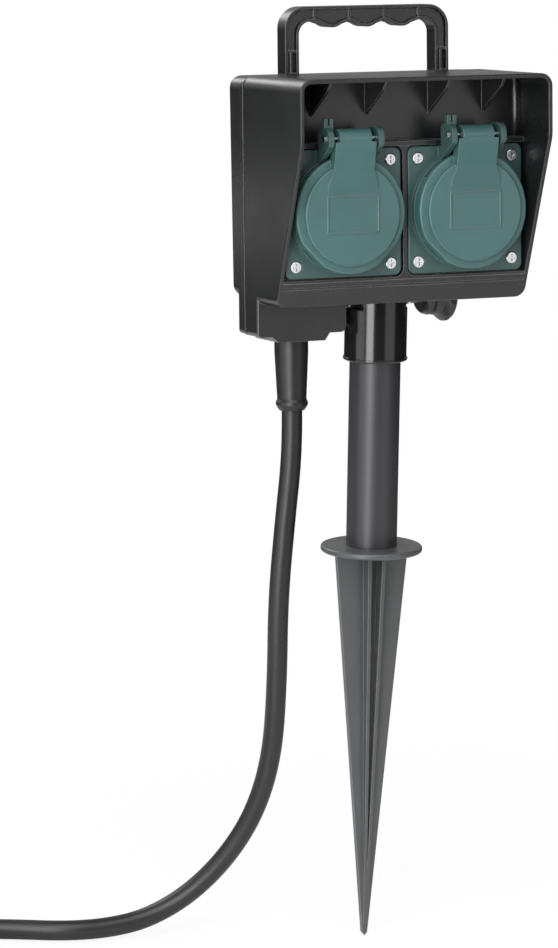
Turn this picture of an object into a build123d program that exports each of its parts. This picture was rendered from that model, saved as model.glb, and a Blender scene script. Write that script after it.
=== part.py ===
from build123d import *
from math import atan2, cos, hypot, pi, radians, sin, sqrt, tan
import os

# Garden socket spike, in millimetres. X runs left to right, the sockets face -Y and Z points up.
# The origin is the tip of the spike, under the pole's axis. The head is drawn upright in its own frame,
# where the pivot stands at PIVOT_Y, and is then tipped back about the pivot onto the pole.

os.makedirs("parts", exist_ok=True)

# Head on its pole
TILT = 3.85
PIVOT_Y = -3.0
PIVOT_Z = 322.0

# Sockets
WELL_RADIUS = 20.0
WELL_DEPTH = 17.5
WELL_WALL = 2.0
WELL_BASE = 13.0
COLLAR_RADIUS = WELL_RADIUS + WELL_WALL + 4.0
PEDESTAL_RADIUS = COLLAR_RADIUS + 2.4
PIN_SPACING = 19.0
PIN_HOLE = 5.6
WINDOW_GAP = 0.6

# Socket flanges
FLANGE_SIDE = 1.8
FLANGE_WIDTH = 2 * (PEDESTAL_RADIUS + FLANGE_SIDE)
FLANGE_HEIGHT = FLANGE_WIDTH + 0.6
FLANGE_CORNER = 3.5
FLANGE_THICK = 3.0
FLANGE_EDGE = 0.8
FLANGE_MIDDLE = 1.8
FLANGE_BORDER = 1.1
SOCKET_X = FLANGE_MIDDLE + FLANGE_WIDTH / 2
SCREW_PITCH = FLANGE_WIDTH - 11.0
POCKET_GAP = 0.8
GASKET_THICK = 0.8

# Housing
WALL = 2.2
HALF_WIDTH = FLANGE_MIDDLE + FLANGE_WIDTH + FLANGE_BORDER + WALL
FASCIA_TOP_Z = 332.0
LIP_Z = FASCIA_TOP_Z - 11.6
SOCKET_Z = FASCIA_TOP_Z + 2.1 + FLANGE_HEIGHT / 2
STEP_Z = SOCKET_Z + FLANGE_HEIGHT / 2 + 2.8
HOOD_RISE = 31.4
ROOF_Z = STEP_Z + HOOD_RISE
ROOF_CORNER = 6.0
PANEL_Y = -36.6
HOOD_REACH = 27.0
RIM_Y = PANEL_Y - HOOD_REACH
SLANT = 0.4
LIP_CORNER = 5.0
RIM_BEND = 14.0
UPPER_WALL_Y = PANEL_Y + 7.6
PANEL_BACK_Y = PANEL_Y + 6.2
SEAM_Y = 4.5
RIM_EDGE = 0.7
SILL_DROP = 2.3
SILL_GROOVE = 0.8

# Rear shell
REAR_STEP = 1.5
REAR_HALF_WIDTH = HALF_WIDTH - REAR_STEP
REAR_TOP_Z = ROOF_Z - 0.7
REAR_BOTTOM_Z = LIP_Z + 1.6
REAR_DEPTH = 23.0
REAR_DRAFT = 2.0
REAR_EDGE = 3.0
REAR_Y = SEAM_Y + REAR_DEPTH
REAR_CORNER = 6.0
SEAM_FLANGE = 4.5
SEAM_LINE = 1.4
SEAM_DEPTH = 1.0
GASKET_HALF = 1.3

# Gussets under the roof
GUSSET_X = (-45.2, -16.5, 16.5, 45.2)
GUSSET_THICK = 1.3
GUSSET_FOOT_Z = ROOF_Z - 18.8
GUSSET_NOSE_Y = UPPER_WALL_Y - 20.0
GUSSET_NOSE_Z = ROOF_Z - 6.8
GUSSET_ROOF_Y = GUSSET_NOSE_Y - 4.0

# Tilt joint
PIVOT_BOLT_RADIUS = 3.0
SLEEVE_RADIUS = 15.2
KNUCKLE_RADIUS = 10.8
KNUCKLE_HALF = 11.3
KNUCKLE_GAP = 0.3
LUG_INNER = KNUCKLE_HALF + KNUCKLE_GAP
LUG_THICK = 4.0
LUG_RADIUS = 5.5
BRACKET_THICK = 2.5
BRACKET_HALF_DEPTH = 7.2
BRACKET_SCREW_X = 6.0
BRACKET_SCREW_RISE = 8.0
BRACKET_SCREW_BACK = 1.5
SHOULDER_DROP = 6.0
CHEEK_DROP = 1.5
NUT_FLAT = 10.0
NUT_THICK = 3.2
NUT_POCKET = 2.8
WASHER_RADIUS = 5.4
WASHER_THICK = 1.2
KNOB_NECK_RADIUS = 5.0
KNOB_NECK_END = 23.4
KNOB_HUB_RADIUS = 11.0
KNOB_HUB_END = KNOB_NECK_END + 10.0
KNOB_GRIP_RADIUS = 14.3
KNOB_GRIP_END = KNOB_HUB_END + 4.8
KNOB_LOBES = 7
KNOB_SCALLOP = 3.2
KNOB_SCALLOP_DEPTH = 0.8

# Bay under the housing for the tilt joint
BAY_LEFT = -(LUG_INNER + LUG_THICK + 3.3)
BAY_RIGHT = KNOB_GRIP_END + 9.8
BAY_TOP_Z = PIVOT_Z + 15.0

# Cord's place in the cable block, midway between the left wall and the bay
CORD_RADIUS = 5.0
CORD_X = (BAY_LEFT - HALF_WIDTH) / 2 + 0.2

# Cable block
BLOCK_HALF_DEPTH = 13.5
BLOCK_FRONT_Y = SEAM_Y - BLOCK_HALF_DEPTH
BLOCK_REAR_Y = SEAM_Y + BLOCK_HALF_DEPTH
BLOCK_EDGE = 1.6
BLOCK_TOP_Z = FASCIA_TOP_Z - 2.5
BLOCK_LOW_Z = LIP_Z - 18.7
BLOCK_STEP_Z = BLOCK_LOW_Z + 2.7
BLOCK_HIGH_Z = BLOCK_LOW_Z + 3.6
BLOCK_LOW_LEFT = CORD_X - 12.3
BLOCK_LOW_RIGHT = CORD_X + 12.0
BLOCK_SLOPE = 3.5
BLOCK_CORNER = 3.0

# Fronts of the flange, collar and pedestal
FLANGE_FACE_Y = PANEL_Y + 0.2
COLLAR_FRONT_Y = FLANGE_FACE_Y - 5.1
PEDESTAL_Y = FLANGE_FACE_Y - 2.5

# Contacts
CONTACT_WIDTH = 8.0
CONTACT_HEIGHT = 9.0
CONTACT_LENGTH = 10.0
CONTACT_BORE = 4.6
CONTACT_GAP = 0.3
CLIP_WIDTH = 7.0
CLIP_THICK = 0.9
CLIP_REACH_Y = COLLAR_FRONT_Y + 5.5

# Lids
LID_RADIUS = COLLAR_RADIUS + 2.3
LID_RING_Y = COLLAR_FRONT_Y - 4.1
LID_BACK_Y = COLLAR_FRONT_Y + 2.0
LID_DISC_RADIUS = LID_RADIUS - 3.7
LID_DISC_Y = LID_RING_Y - 2.4
LID_WALL = 1.7
LID_FLAT = LID_RADIUS - 1.0
SKIRT_TOP = 16.0
SEAL_INNER = WELL_RADIUS + 2.3
SEAL_OUTER = COLLAR_RADIUS - 0.2
SEAL_BACK_GAP = 0.1
SEAL_THICK = 1.6
STRAP_HALF = 10.45
STRAP_FLARE = 13.0
STRAP_RISE = 1.5
STRAP_NARROWS = LID_DISC_RADIUS - 3.6
STRAP_WIDE = LID_DISC_RADIUS - 10.6
STRAP_FOOT = LID_DISC_RADIUS - 14.1
LABEL_WIDTH = 27.0
LABEL_HEIGHT = 18.0
LABEL_LIFT = 0.2
LABEL_LINE = 0.8
LABEL_DEPTH = 0.4

# Hinges
HINGE_RISE = FLANGE_HEIGHT / 2 + 5.5
HINGE_Y = LID_DISC_Y + 0.5
PIN_RADIUS = 1.0
PIN_FIT = 0.05
BARREL_RADIUS = 4.6
BARREL_HALF = 8.1
EAR_INNER = BARREL_HALF + 3.5
EAR_THICK = 2.6
EAR_RADIUS = 5.2
SPRING_WIRE = 0.35
SPRING_RADIUS = 1.7
SPRING_TURNS = 5

# Screws
FLANGE_SCREW_RADIUS = 1.7
FLANGE_SCREW_HEAD = 2.9
FLANGE_SCREW_LENGTH = 11.0
HOUSING_SCREW_X = HALF_WIDTH - 9.5
HOUSING_SCREW_Z = (FASCIA_TOP_Z - 3.0, ROOF_Z - 11.3)
HOUSING_SCREW_RADIUS = 2.0
HOUSING_SCREW_HEAD = 3.5
BOSS_WALL = 2.2
BOSS_GAP = 0.1
SCREW_GRIP = 12.0
HEAD_HEIGHT = 2.0
SCREW_HOLE_GAP = 0.2

# Carry handle
HANDLE_HALF = HALF_WIDTH - 22.3
HANDLE_BAR = 7.1
HANDLE_FRONT_Y = SEAM_Y + 0.5
HANDLE_DEPTH = 9.6
HANDLE_RISE = 32.7
HANDLE_TOP_Z = REAR_TOP_Z + HANDLE_RISE
HANDLE_CORNER = 10.6
HANDLE_INNER_CORNER = 6.3
FINGER_PITCH = (HANDLE_HALF - HANDLE_BAR) * 0.51
FINGER_DROP = 3.1
CHANNEL_RIM = 1.2
CHANNEL_DEPTH = 1.4
GROOVE_WIDTH = 0.9
GROOVE_DEPTH = 2.6
HANDLE_RIB = 1.2
PILLAR_RADIUS = 1.3
PILLAR_SINK = 0.25
LEG_RIB_Z = REAR_TOP_Z + 11.4
HANDLE_SCREW_LENGTH = 8.0

# Pole and spike
SLEEVE_BOTTOM_Z = PIVOT_Z - 31.7
SLEEVE_BEAD = 0.5
POLE_RADIUS = SLEEVE_RADIUS - 2.75
POLE_WALL = 2.1
POLE_FIT = 0.05
POLE_TOP_Z = PIVOT_Z - 9.0
DISC_RADIUS = 24.9
DISC_THICK = 3.0
DISC_EDGE = 1.1
DISC_TOP_Z = 198.3
SPIGOT_LENGTH = 28.0
BLADE_HALF = 19.1
BLADE_THICK = 2.6
TIP_HALF = 1.3
RIB_HALF_SPREAD = 3.8
RIB_THICK = 1.75
RIB_DEPTH = 6.2
RIB_TIP_DEPTH = 0.5
RIB_ROOT = 3.0
RIB_FOOT_Z = 6.0

# Cord
BOOT_TOP_RADIUS = CORD_RADIUS + 3.2
BOOT_LOW_RADIUS = CORD_RADIUS + 2.1
BOOT_BEAD_RADIUS = CORD_RADIUS + 2.8
BOOT_LENGTH = 34.4
BOOT_LOW_Z = BLOCK_LOW_Z - BOOT_LENGTH
BOOT_BEAD_Z = BOOT_LOW_Z + 3.4
BOOT_COLLAR_RADIUS = CORD_RADIUS + 4.4
BOOT_GRIP_RADIUS = CORD_RADIUS + 1.8
BOOT_COLLAR_THICK = 2.0
CORD_TOP_Z = BLOCK_LOW_Z + 15.3
CLAMP_LIFT = 3.0
CLAMP_HEIGHT = 7.0
CLAMP_THICK = 4.0
CLAMP_BITE = 0.6
CLAMP_SCREW_OFFSET = CORD_RADIUS + 3.4
CLAMP_HALF = CORD_RADIUS + 6.0
CLAMP_SCREW_RADIUS = 1.5
CLAMP_SCREW_HEAD = 2.6
CLAMP_SCREW_LENGTH = 11.0
CLAMP_BOSS_WALL = 1.6
TIE_THICK = 1.0
TIE_WIDTH = 12.0
TIE_GAP = 0.8
LAY_Z = CORD_RADIUS
COIL_LAY_Z = CORD_RADIUS + TIE_THICK + TIE_GAP
COIL_RADIUS = 62.0
COIL_PITCH = 13.5
COIL_STEP = 11.0
COIL_TURNS = 3.0
COIL_START = (-262.0, 67.3)
CORD_ROUTE = [
    (-45.4, 2.0, 214.0),
    (-48.4, 2.2, 174.0),
    (-47.2, 4.6, 132.0),
    (-46.6, 10.6, 93.0),
    (-52.0, 18.2, 63.0),
    (-63.5, 26.3, 39.0),
    (-80.0, 33.5, 20.0),
    (-100.0, 38.1, 8.2),
    (-121.0, 38.9, LAY_Z),
    (-143.0, 41.3, LAY_Z),
    (-164.0, 52.3, LAY_Z),
    (-184.5, 60.8, LAY_Z),
    (-206.0, 65.9, LAY_Z + 0.8),
]
CORD_FIRST_RUN = 20.0
CORD_LAST_RUN = 22.0

# Plug
PLUG_RADIUS = 19.2
PLUG_BODY_LENGTH = 36.0
PLUG_NECK_RADIUS = 12.0
PLUG_BOOT_RADIUS = 7.2
PLUG_BOOT_LENGTH = 30.0
PLUG_PIN_RADIUS = 2.4
PLUG_PIN_ROOT = 2.0
PLUG_PIN_HOLD = 8.0
PLUG_PIN_LENGTH = 19.0
PLUG_STRIP_WIDTH = 6.0
PLUG_STRIP_THICK = 0.8
PLUG_FACE_LENGTH = 14.0
PLUG_FACE_RADIUS = 18.2

# Inner wires
WIRE_RADIUS = 1.3
WIRE_BEND = 4.0
WIRE_STEP = 2.95
WIRE_SPREAD = 2.6
EARTH_DROP = 8.0
WIRE_STUB = 8.0
WIRE_CLIMB = 17.0
WIRE_RISE = 14.0
CORD_LANE_Y = SEAM_Y + 0.5
EARTH_LANE_Y = SEAM_Y + 9.5
LINK_LIVE_Y = SEAM_Y - 2.5
LINK_NEUTRAL_Y = SEAM_Y + 2.5
LINK_EARTH_Y = SEAM_Y + 7.5

HEAD = Pos(0, 0, PIVOT_Z) * Rot(-TILT, 0, 0) * Pos(0, -PIVOT_Y, -PIVOT_Z)
SIDES = (("left", -SOCKET_X), ("right", SOCKET_X))


def block(x0, x1, y0, y1, z0, z1):
    """A plain block between its lowest and highest corners."""
    return Pos((x0 + x1) / 2, (y0 + y1) / 2, (z0 + z1) / 2) * Box(x1 - x0, y1 - y0, z1 - z0)


def rod_x(x0, x1, y, z, radius):
    return Pos((x0 + x1) / 2, y, z) * Rot(0, 90, 0) * Cylinder(radius, x1 - x0)


def rod_y(x, y0, y1, z, radius):
    return Pos(x, (y0 + y1) / 2, z) * Rot(90, 0, 0) * Cylinder(radius, y1 - y0)


def rod_z(x, y, z0, z1, radius):
    return Pos(x, y, (z0 + z1) / 2) * Cylinder(radius, z1 - z0)


def outline(points):
    """A closed flat shape through (u, v) points; a third number rounds that corner."""
    face = make_face(Polyline(*[point[:2] for point in points], close=True))
    for point in points:
        if len(point) == 3:
            corner = face.vertices().sort_by_distance((point[0], point[1], 0))[0]
            face = fillet(corner, point[2])
    return face


def side_slab(face, x0, x1):
    """Extrude a (y, z) shape from x0 to x1."""
    return extrude(Plane.YZ.offset(x0) * face, x1 - x0)


def front_slab(face, y0, y1):
    """Extrude an (x, z) shape from y0 back to y1."""
    return extrude(Plane.XZ.offset(-y1) * face, y1 - y0)


def plan_slab(face, z0, z1):
    """Extrude an (x, y) shape from z0 up to z1."""
    return extrude(Plane.XY.offset(z0) * face, z1 - z0)


def turned_y(points, x, z):
    """Turn an (r, y) profile about a front-to-back axis at x, z."""
    profile = make_face(Polyline(*[(r, y) for r, y in points], close=True))
    return Pos(x, 0, z) * revolve(profile, Axis.Y)


def turned_x(points, y, z):
    """Turn an (x, r) profile about a left-to-right axis at y, z."""
    profile = make_face(Polyline(*points, close=True))
    return Pos(0, y, z) * revolve(profile, Axis.X)


def turned_z(points, x, y):
    """Turn an (r, z) profile about an upright axis at x, y."""
    profile = Plane.XZ * make_face(Polyline(*points, close=True))
    return Pos(x, y, 0) * revolve(profile, Axis.Z)


def save(name, part, on_head=True):
    placed = HEAD * part if on_head else part
    placed.label = name
    export_step(placed, "parts/" + name + ".step")


def slant_y(z):
    """Where the slanted front edge of the hood stands at a height."""
    return PANEL_Y - SLANT * (z - FASCIA_TOP_Z)


def rounded_rectangle(x0, x1, z0, z1, radius):
    return Pos((x0 + x1) / 2, (z0 + z1) / 2) * RectangleRounded(x1 - x0, z1 - z0, radius)


def block_outline(left, inset):
    """The cable block seen from the front, open upwards into the housing."""
    top = BLOCK_TOP_Z
    right = BAY_LEFT - inset
    return outline([
        (left + inset, top),
        (left + inset, BLOCK_STEP_Z + inset, BLOCK_CORNER - inset / 2),
        (BLOCK_LOW_LEFT - BLOCK_SLOPE, BLOCK_STEP_Z + inset),
        (BLOCK_LOW_LEFT + inset / 2, BLOCK_LOW_Z + inset),
        (BLOCK_LOW_RIGHT - inset / 2, BLOCK_LOW_Z + inset),
        (BLOCK_LOW_RIGHT + BLOCK_SLOPE - 1, BLOCK_HIGH_Z + inset),
        (right, BLOCK_HIGH_Z + inset, BLOCK_CORNER - inset / 2),
        (right, top),
    ])


def block_plan(inset):
    """The cable block seen from above, with its left corners rounded."""
    left = -HALF_WIDTH + inset
    return plan_slab(outline([
        (left, BLOCK_FRONT_Y, BLOCK_EDGE), (BAY_LEFT, BLOCK_FRONT_Y),
        (BAY_LEFT, BLOCK_REAR_Y), (left, BLOCK_REAR_Y, BLOCK_EDGE)]), BLOCK_LOW_Z - 1, BLOCK_TOP_Z + 1)


def bay_face(grow):
    return rounded_rectangle(BAY_LEFT - grow, BAY_RIGHT + grow, LIP_Z - 30, BAY_TOP_Z + grow, 2 + grow)


def inside_face():
    """The sealed inside of the housing at the seam, seen from the front."""
    room = rounded_rectangle(-HALF_WIDTH + WALL, HALF_WIDTH - WALL, LIP_Z + WALL, REAR_TOP_Z - WALL, 3.5)
    return room + block_outline(-HALF_WIDTH, WALL) - bay_face(WALL)


def screw_places():
    return [(sx * HOUSING_SCREW_X, z) for sx in (-1, 1) for z in HOUSING_SCREW_Z]


def flange_screw_places():
    half = SCREW_PITCH / 2
    return [(x + sx * half, SOCKET_Z + sz * half) for _, x in SIDES for sx in (-1, 1) for sz in (-1, 1)]


def gusset(x):
    face = outline([
        (UPPER_WALL_Y + 1, GUSSET_FOOT_Z - 0.6),
        (UPPER_WALL_Y, GUSSET_FOOT_Z),
        (GUSSET_NOSE_Y, GUSSET_NOSE_Z, 4.0),
        (GUSSET_ROOF_Y, ROOF_Z - WALL),
        (GUSSET_ROOF_Y, ROOF_Z - WALL / 2),
        (UPPER_WALL_Y + 1, ROOF_Z - WALL / 2),
    ])
    return side_slab(face, x - GUSSET_THICK / 2, x + GUSSET_THICK / 2)


def front_cover():
    """Hood, panel, fascia and the front of the cable block, in one moulding."""
    bend_z = FASCIA_TOP_Z + (PANEL_Y - RIM_Y) / SLANT
    side = outline([
        (SEAM_Y, ROOF_Z),
        (RIM_Y, ROOF_Z),
        (RIM_Y, bend_z, RIM_BEND),
        (slant_y(LIP_Z), LIP_Z),
        (SEAM_Y, LIP_Z),
    ])
    shell = side_slab(side, -HALF_WIDTH, HALF_WIDTH)
    along = shell.edges().filter_by(Axis.Y)
    shell = fillet(along.group_by(Axis.Z)[-1], ROOF_CORNER)
    along = shell.edges().filter_by(Axis.Y)
    shell = fillet(along.group_by(Axis.Z)[0], LIP_CORNER)

    hood = outline([
        (RIM_Y - 9, ROOF_Z - WALL),
        (UPPER_WALL_Y, ROOF_Z - WALL, 1.5),
        (UPPER_WALL_Y, STEP_Z),
        (PANEL_Y, STEP_Z),
        (PANEL_Y, FASCIA_TOP_Z),
        (RIM_Y - 9, FASCIA_TOP_Z),
    ])
    hood_space = side_slab(hood, -HALF_WIDTH + WALL, HALF_WIDTH - WALL)
    top_edges = hood_space.edges().filter_by(Axis.Y).group_by(Axis.Z)[-1]
    hood_space = fillet(top_edges, ROOF_CORNER - WALL)
    shell -= hood_space
    rim_face = shell.faces().sort_by(Axis.Y)[0]
    shell = fillet(rim_face.outer_wire().edges(), RIM_EDGE)
    sill_z = FASCIA_TOP_Z - SILL_DROP
    shell -= block(-HALF_WIDTH + WALL, HALF_WIDTH - WALL, slant_y(sill_z) - 1, slant_y(sill_z) + SILL_GROOVE,
                   sill_z - SILL_GROOVE, sill_z)

    shell += front_slab(block_outline(-HALF_WIDTH, 0), BLOCK_FRONT_Y, SEAM_Y) & block_plan(0)

    room = outline([
        (SEAM_Y, REAR_TOP_Z - WALL),
        (UPPER_WALL_Y + WALL, REAR_TOP_Z - WALL),
        (UPPER_WALL_Y + WALL, STEP_Z - WALL),
        (PANEL_BACK_Y, STEP_Z - WALL),
        (PANEL_BACK_Y, FASCIA_TOP_Z),
        (slant_y(LIP_Z) + WALL * 1.1, LIP_Z + WALL),
        (SEAM_Y, LIP_Z + WALL),
    ])
    room_space = side_slab(room, -HALF_WIDTH + WALL, HALF_WIDTH - WALL)
    bay_front = PANEL_BACK_Y + WALL
    room_space -= front_slab(bay_face(WALL), PANEL_BACK_Y, SEAM_Y)
    room_space += front_slab(block_outline(-HALF_WIDTH, WALL), BLOCK_FRONT_Y + WALL, SEAM_Y)
    shell -= room_space
    shell -= front_slab(bay_face(0), bay_front, SEAM_Y)

    for x in GUSSET_X:
        shell += gusset(x)
    for x, z in screw_places():
        wall_y = PANEL_BACK_Y if z < STEP_Z else UPPER_WALL_Y + WALL
        shell += rod_y(x, wall_y - 0.5, SEAM_Y, z, HOUSING_SCREW_RADIUS + BOSS_WALL)
        shell -= rod_y(x, SEAM_Y - SCREW_GRIP - 1, SEAM_Y, z, HOUSING_SCREW_RADIUS)
    for x in bracket_screw_places():
        shell += rod_z(x, bracket_screw_y(), BAY_TOP_Z + WALL / 2, BAY_TOP_Z + BRACKET_SCREW_RISE + 1,
                       HOUSING_SCREW_RADIUS + BOSS_WALL)
        shell -= rod_z(x, bracket_screw_y(), BAY_TOP_Z - 1, BAY_TOP_Z + BRACKET_SCREW_RISE,
                       HOUSING_SCREW_RADIUS)
    for x in clamp_screw_places():
        shell += rod_y(x, BLOCK_FRONT_Y + WALL / 2, SEAM_Y + CORD_RADIUS - 0.8, clamp_screw_z(),
                       CLAMP_SCREW_RADIUS + CLAMP_BOSS_WALL)
        shell -= rod_y(x, BLOCK_FRONT_Y + WALL + 1, SEAM_Y + CORD_RADIUS, clamp_screw_z(),
                       CLAMP_SCREW_RADIUS)
    shell -= rod_z(CORD_X, SEAM_Y, BLOCK_LOW_Z - 1, BLOCK_LOW_Z + WALL + 1, BOOT_GRIP_RADIUS)
    shell -= panel_block()
    boss_radius = FLANGE_SCREW_RADIUS + BOSS_WALL + BOSS_GAP
    for x, z in flange_screw_places():
        shell -= rod_y(x, PANEL_BACK_Y - 1, flange_boss_end() + BOSS_GAP, z, boss_radius)
    return shell


def flange_boss_end():
    return FLANGE_FACE_Y + FLANGE_THICK + GASKET_THICK + FLANGE_SCREW_LENGTH


def panel_block():
    """The room of the flat panel between the side walls, above the fascia and below the step."""
    half = HALF_WIDTH - WALL
    return block(-half, half, PANEL_Y, PANEL_BACK_Y, FASCIA_TOP_Z, STEP_Z - WALL)


def socket_panel():
    """The flat panel that carries both sockets, with their pockets, windows and screw bosses."""
    plate = panel_block()
    pocket_y = FLANGE_FACE_Y + FLANGE_THICK + GASKET_THICK
    for side, x in zip((-1, 1), (-SOCKET_X, SOCKET_X)):
        near, far = side * (FLANGE_MIDDLE - POCKET_GAP), side * (HALF_WIDTH + FLANGE_CORNER + POCKET_GAP)
        pocket = rounded_rectangle(
            min(near, far), max(near, far),
            SOCKET_Z - FLANGE_HEIGHT / 2 - POCKET_GAP, SOCKET_Z + FLANGE_HEIGHT / 2 + POCKET_GAP,
            FLANGE_CORNER + POCKET_GAP)
        plate -= front_slab(pocket, PANEL_Y - 1, pocket_y)
        plate -= rod_y(x, PANEL_Y - 1, PANEL_BACK_Y + 1, SOCKET_Z, WELL_RADIUS + WELL_WALL + WINDOW_GAP)
    for x, z in flange_screw_places():
        plate += rod_y(x, pocket_y, flange_boss_end(), z, FLANGE_SCREW_RADIUS + BOSS_WALL)
        plate -= rod_y(x, pocket_y - 1, flange_boss_end(), z, FLANGE_SCREW_RADIUS)
    return plate


def rear_y(z):
    """Where the back of the rear shell stands at a height; it leans in towards its foot."""
    return REAR_Y - REAR_DRAFT * (REAR_TOP_Z - z) / (REAR_TOP_Z - REAR_BOTTOM_Z)


def rear_depth(inset):
    """Everything in front of the rear shell's back, less an inset."""
    low, high = LIP_Z - 40, REAR_TOP_Z + 1
    return side_slab(outline([
        (SEAM_Y - 2, low), (rear_y(low) - inset, low), (rear_y(high) - inset, high), (SEAM_Y - 2, high)]),
        -HALF_WIDTH, HALF_WIDTH)


def rear_shell():
    """The back half of the housing, with the back half of the cable block."""
    ring = rounded_rectangle(-HALF_WIDTH, HALF_WIDTH, LIP_Z, REAR_TOP_Z, LIP_CORNER)
    ring += block_outline(-HALF_WIDTH, 0)
    shell = front_slab(ring, SEAM_Y + SEAM_LINE, SEAM_Y + SEAM_FLANGE)
    lip = rounded_rectangle(-HALF_WIDTH + SEAM_DEPTH, HALF_WIDTH - SEAM_DEPTH,
                            LIP_Z + SEAM_DEPTH, REAR_TOP_Z - SEAM_DEPTH, LIP_CORNER)
    lip += block_outline(-HALF_WIDTH, SEAM_DEPTH)
    shell += front_slab(lip, SEAM_Y, SEAM_Y + SEAM_LINE + 0.5)
    back = rounded_rectangle(-REAR_HALF_WIDTH, REAR_HALF_WIDTH, REAR_BOTTOM_Z, REAR_TOP_Z, REAR_CORNER)
    body = front_slab(back, SEAM_Y + SEAM_LINE, REAR_Y + 1) & rear_depth(0)
    body = fillet(body.faces().sort_by(Axis.Y)[-1].edges(), REAR_EDGE)
    cable_block = front_slab(block_outline(-REAR_HALF_WIDTH, 0), SEAM_Y + SEAM_LINE, BLOCK_REAR_Y)
    shell += body + (cable_block & block_plan(HALF_WIDTH - REAR_HALF_WIDTH))

    shell -= front_slab(inside_face(), SEAM_Y - 1, SEAM_Y + SEAM_FLANGE)
    room = rounded_rectangle(
        -REAR_HALF_WIDTH + WALL, REAR_HALF_WIDTH - WALL,
        REAR_BOTTOM_Z + WALL, REAR_TOP_Z - WALL, REAR_CORNER - WALL)
    shell -= front_slab(room - bay_face(WALL), SEAM_Y, REAR_Y) & rear_depth(WALL)
    shell -= front_slab(block_outline(-REAR_HALF_WIDTH, WALL), SEAM_Y, BLOCK_REAR_Y - WALL)
    shell -= front_slab(bay_face(0), SEAM_Y - 1, REAR_Y) & rear_depth(WALL)
    for x, z in screw_places():
        shell += rod_y(x, SEAM_Y, rear_y(z) - WALL / 2, z, HOUSING_SCREW_HEAD + BOSS_WALL)
        shell -= rod_y(x, SEAM_Y + 2, REAR_Y + 1, z, HOUSING_SCREW_HEAD + SCREW_HOLE_GAP)
        shell -= rod_y(x, SEAM_Y - 1, SEAM_Y + 3, z, HOUSING_SCREW_RADIUS + SCREW_HOLE_GAP)
    for x in handle_leg_places():
        shell -= rod_z(x, handle_mid_y(), REAR_TOP_Z - WALL - 1, REAR_TOP_Z + 1,
                       HOUSING_SCREW_RADIUS + SCREW_HOLE_GAP)
    shell -= rod_z(CORD_X, SEAM_Y, BLOCK_LOW_Z - 1, BLOCK_LOW_Z + WALL + 1, BOOT_GRIP_RADIUS)
    return shell


def housing_gasket():
    """A soft frame in the seam, inside both shells."""
    outer = inside_face()
    ring = outer - offset(outer, -1.2)
    frame = front_slab(ring, SEAM_Y - GASKET_HALF, SEAM_Y + GASKET_HALF)
    for x, z in screw_places():
        frame -= rod_y(x, SEAM_Y - 5, SEAM_Y + 9, z, HOUSING_SCREW_HEAD + BOSS_WALL)
    frame -= rod_z(CORD_X, SEAM_Y, BLOCK_LOW_Z - 1, clamp_low_z(), BOOT_COLLAR_RADIUS)
    return frame


def pan_screw(x, z, y_head, radius, head, length, toward):
    """A pan-head screw whose head seats at y_head and whose shank runs the given way along Y."""
    shank_end = y_head + toward * length
    low, high = sorted((y_head, shank_end))
    shank = rod_y(x, low, high, z, radius)
    low, high = sorted((y_head, y_head - toward * HEAD_HEIGHT))
    cap = rod_y(x, low, high, z, head)
    crown = cap.faces().sort_by(Axis.Y)[0 if toward > 0 else -1]
    cap = fillet(crown.edges(), HEAD_HEIGHT * 0.35)
    top = y_head - toward * HEAD_HEIGHT
    low, high = sorted((top, top + toward * HEAD_HEIGHT * 0.6))
    cap -= block(x - head * 0.6, x + head * 0.6, low, high, z - head * 0.13, z + head * 0.13)
    cap -= block(x - head * 0.13, x + head * 0.13, low, high, z - head * 0.6, z + head * 0.6)
    return shank + cap


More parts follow.
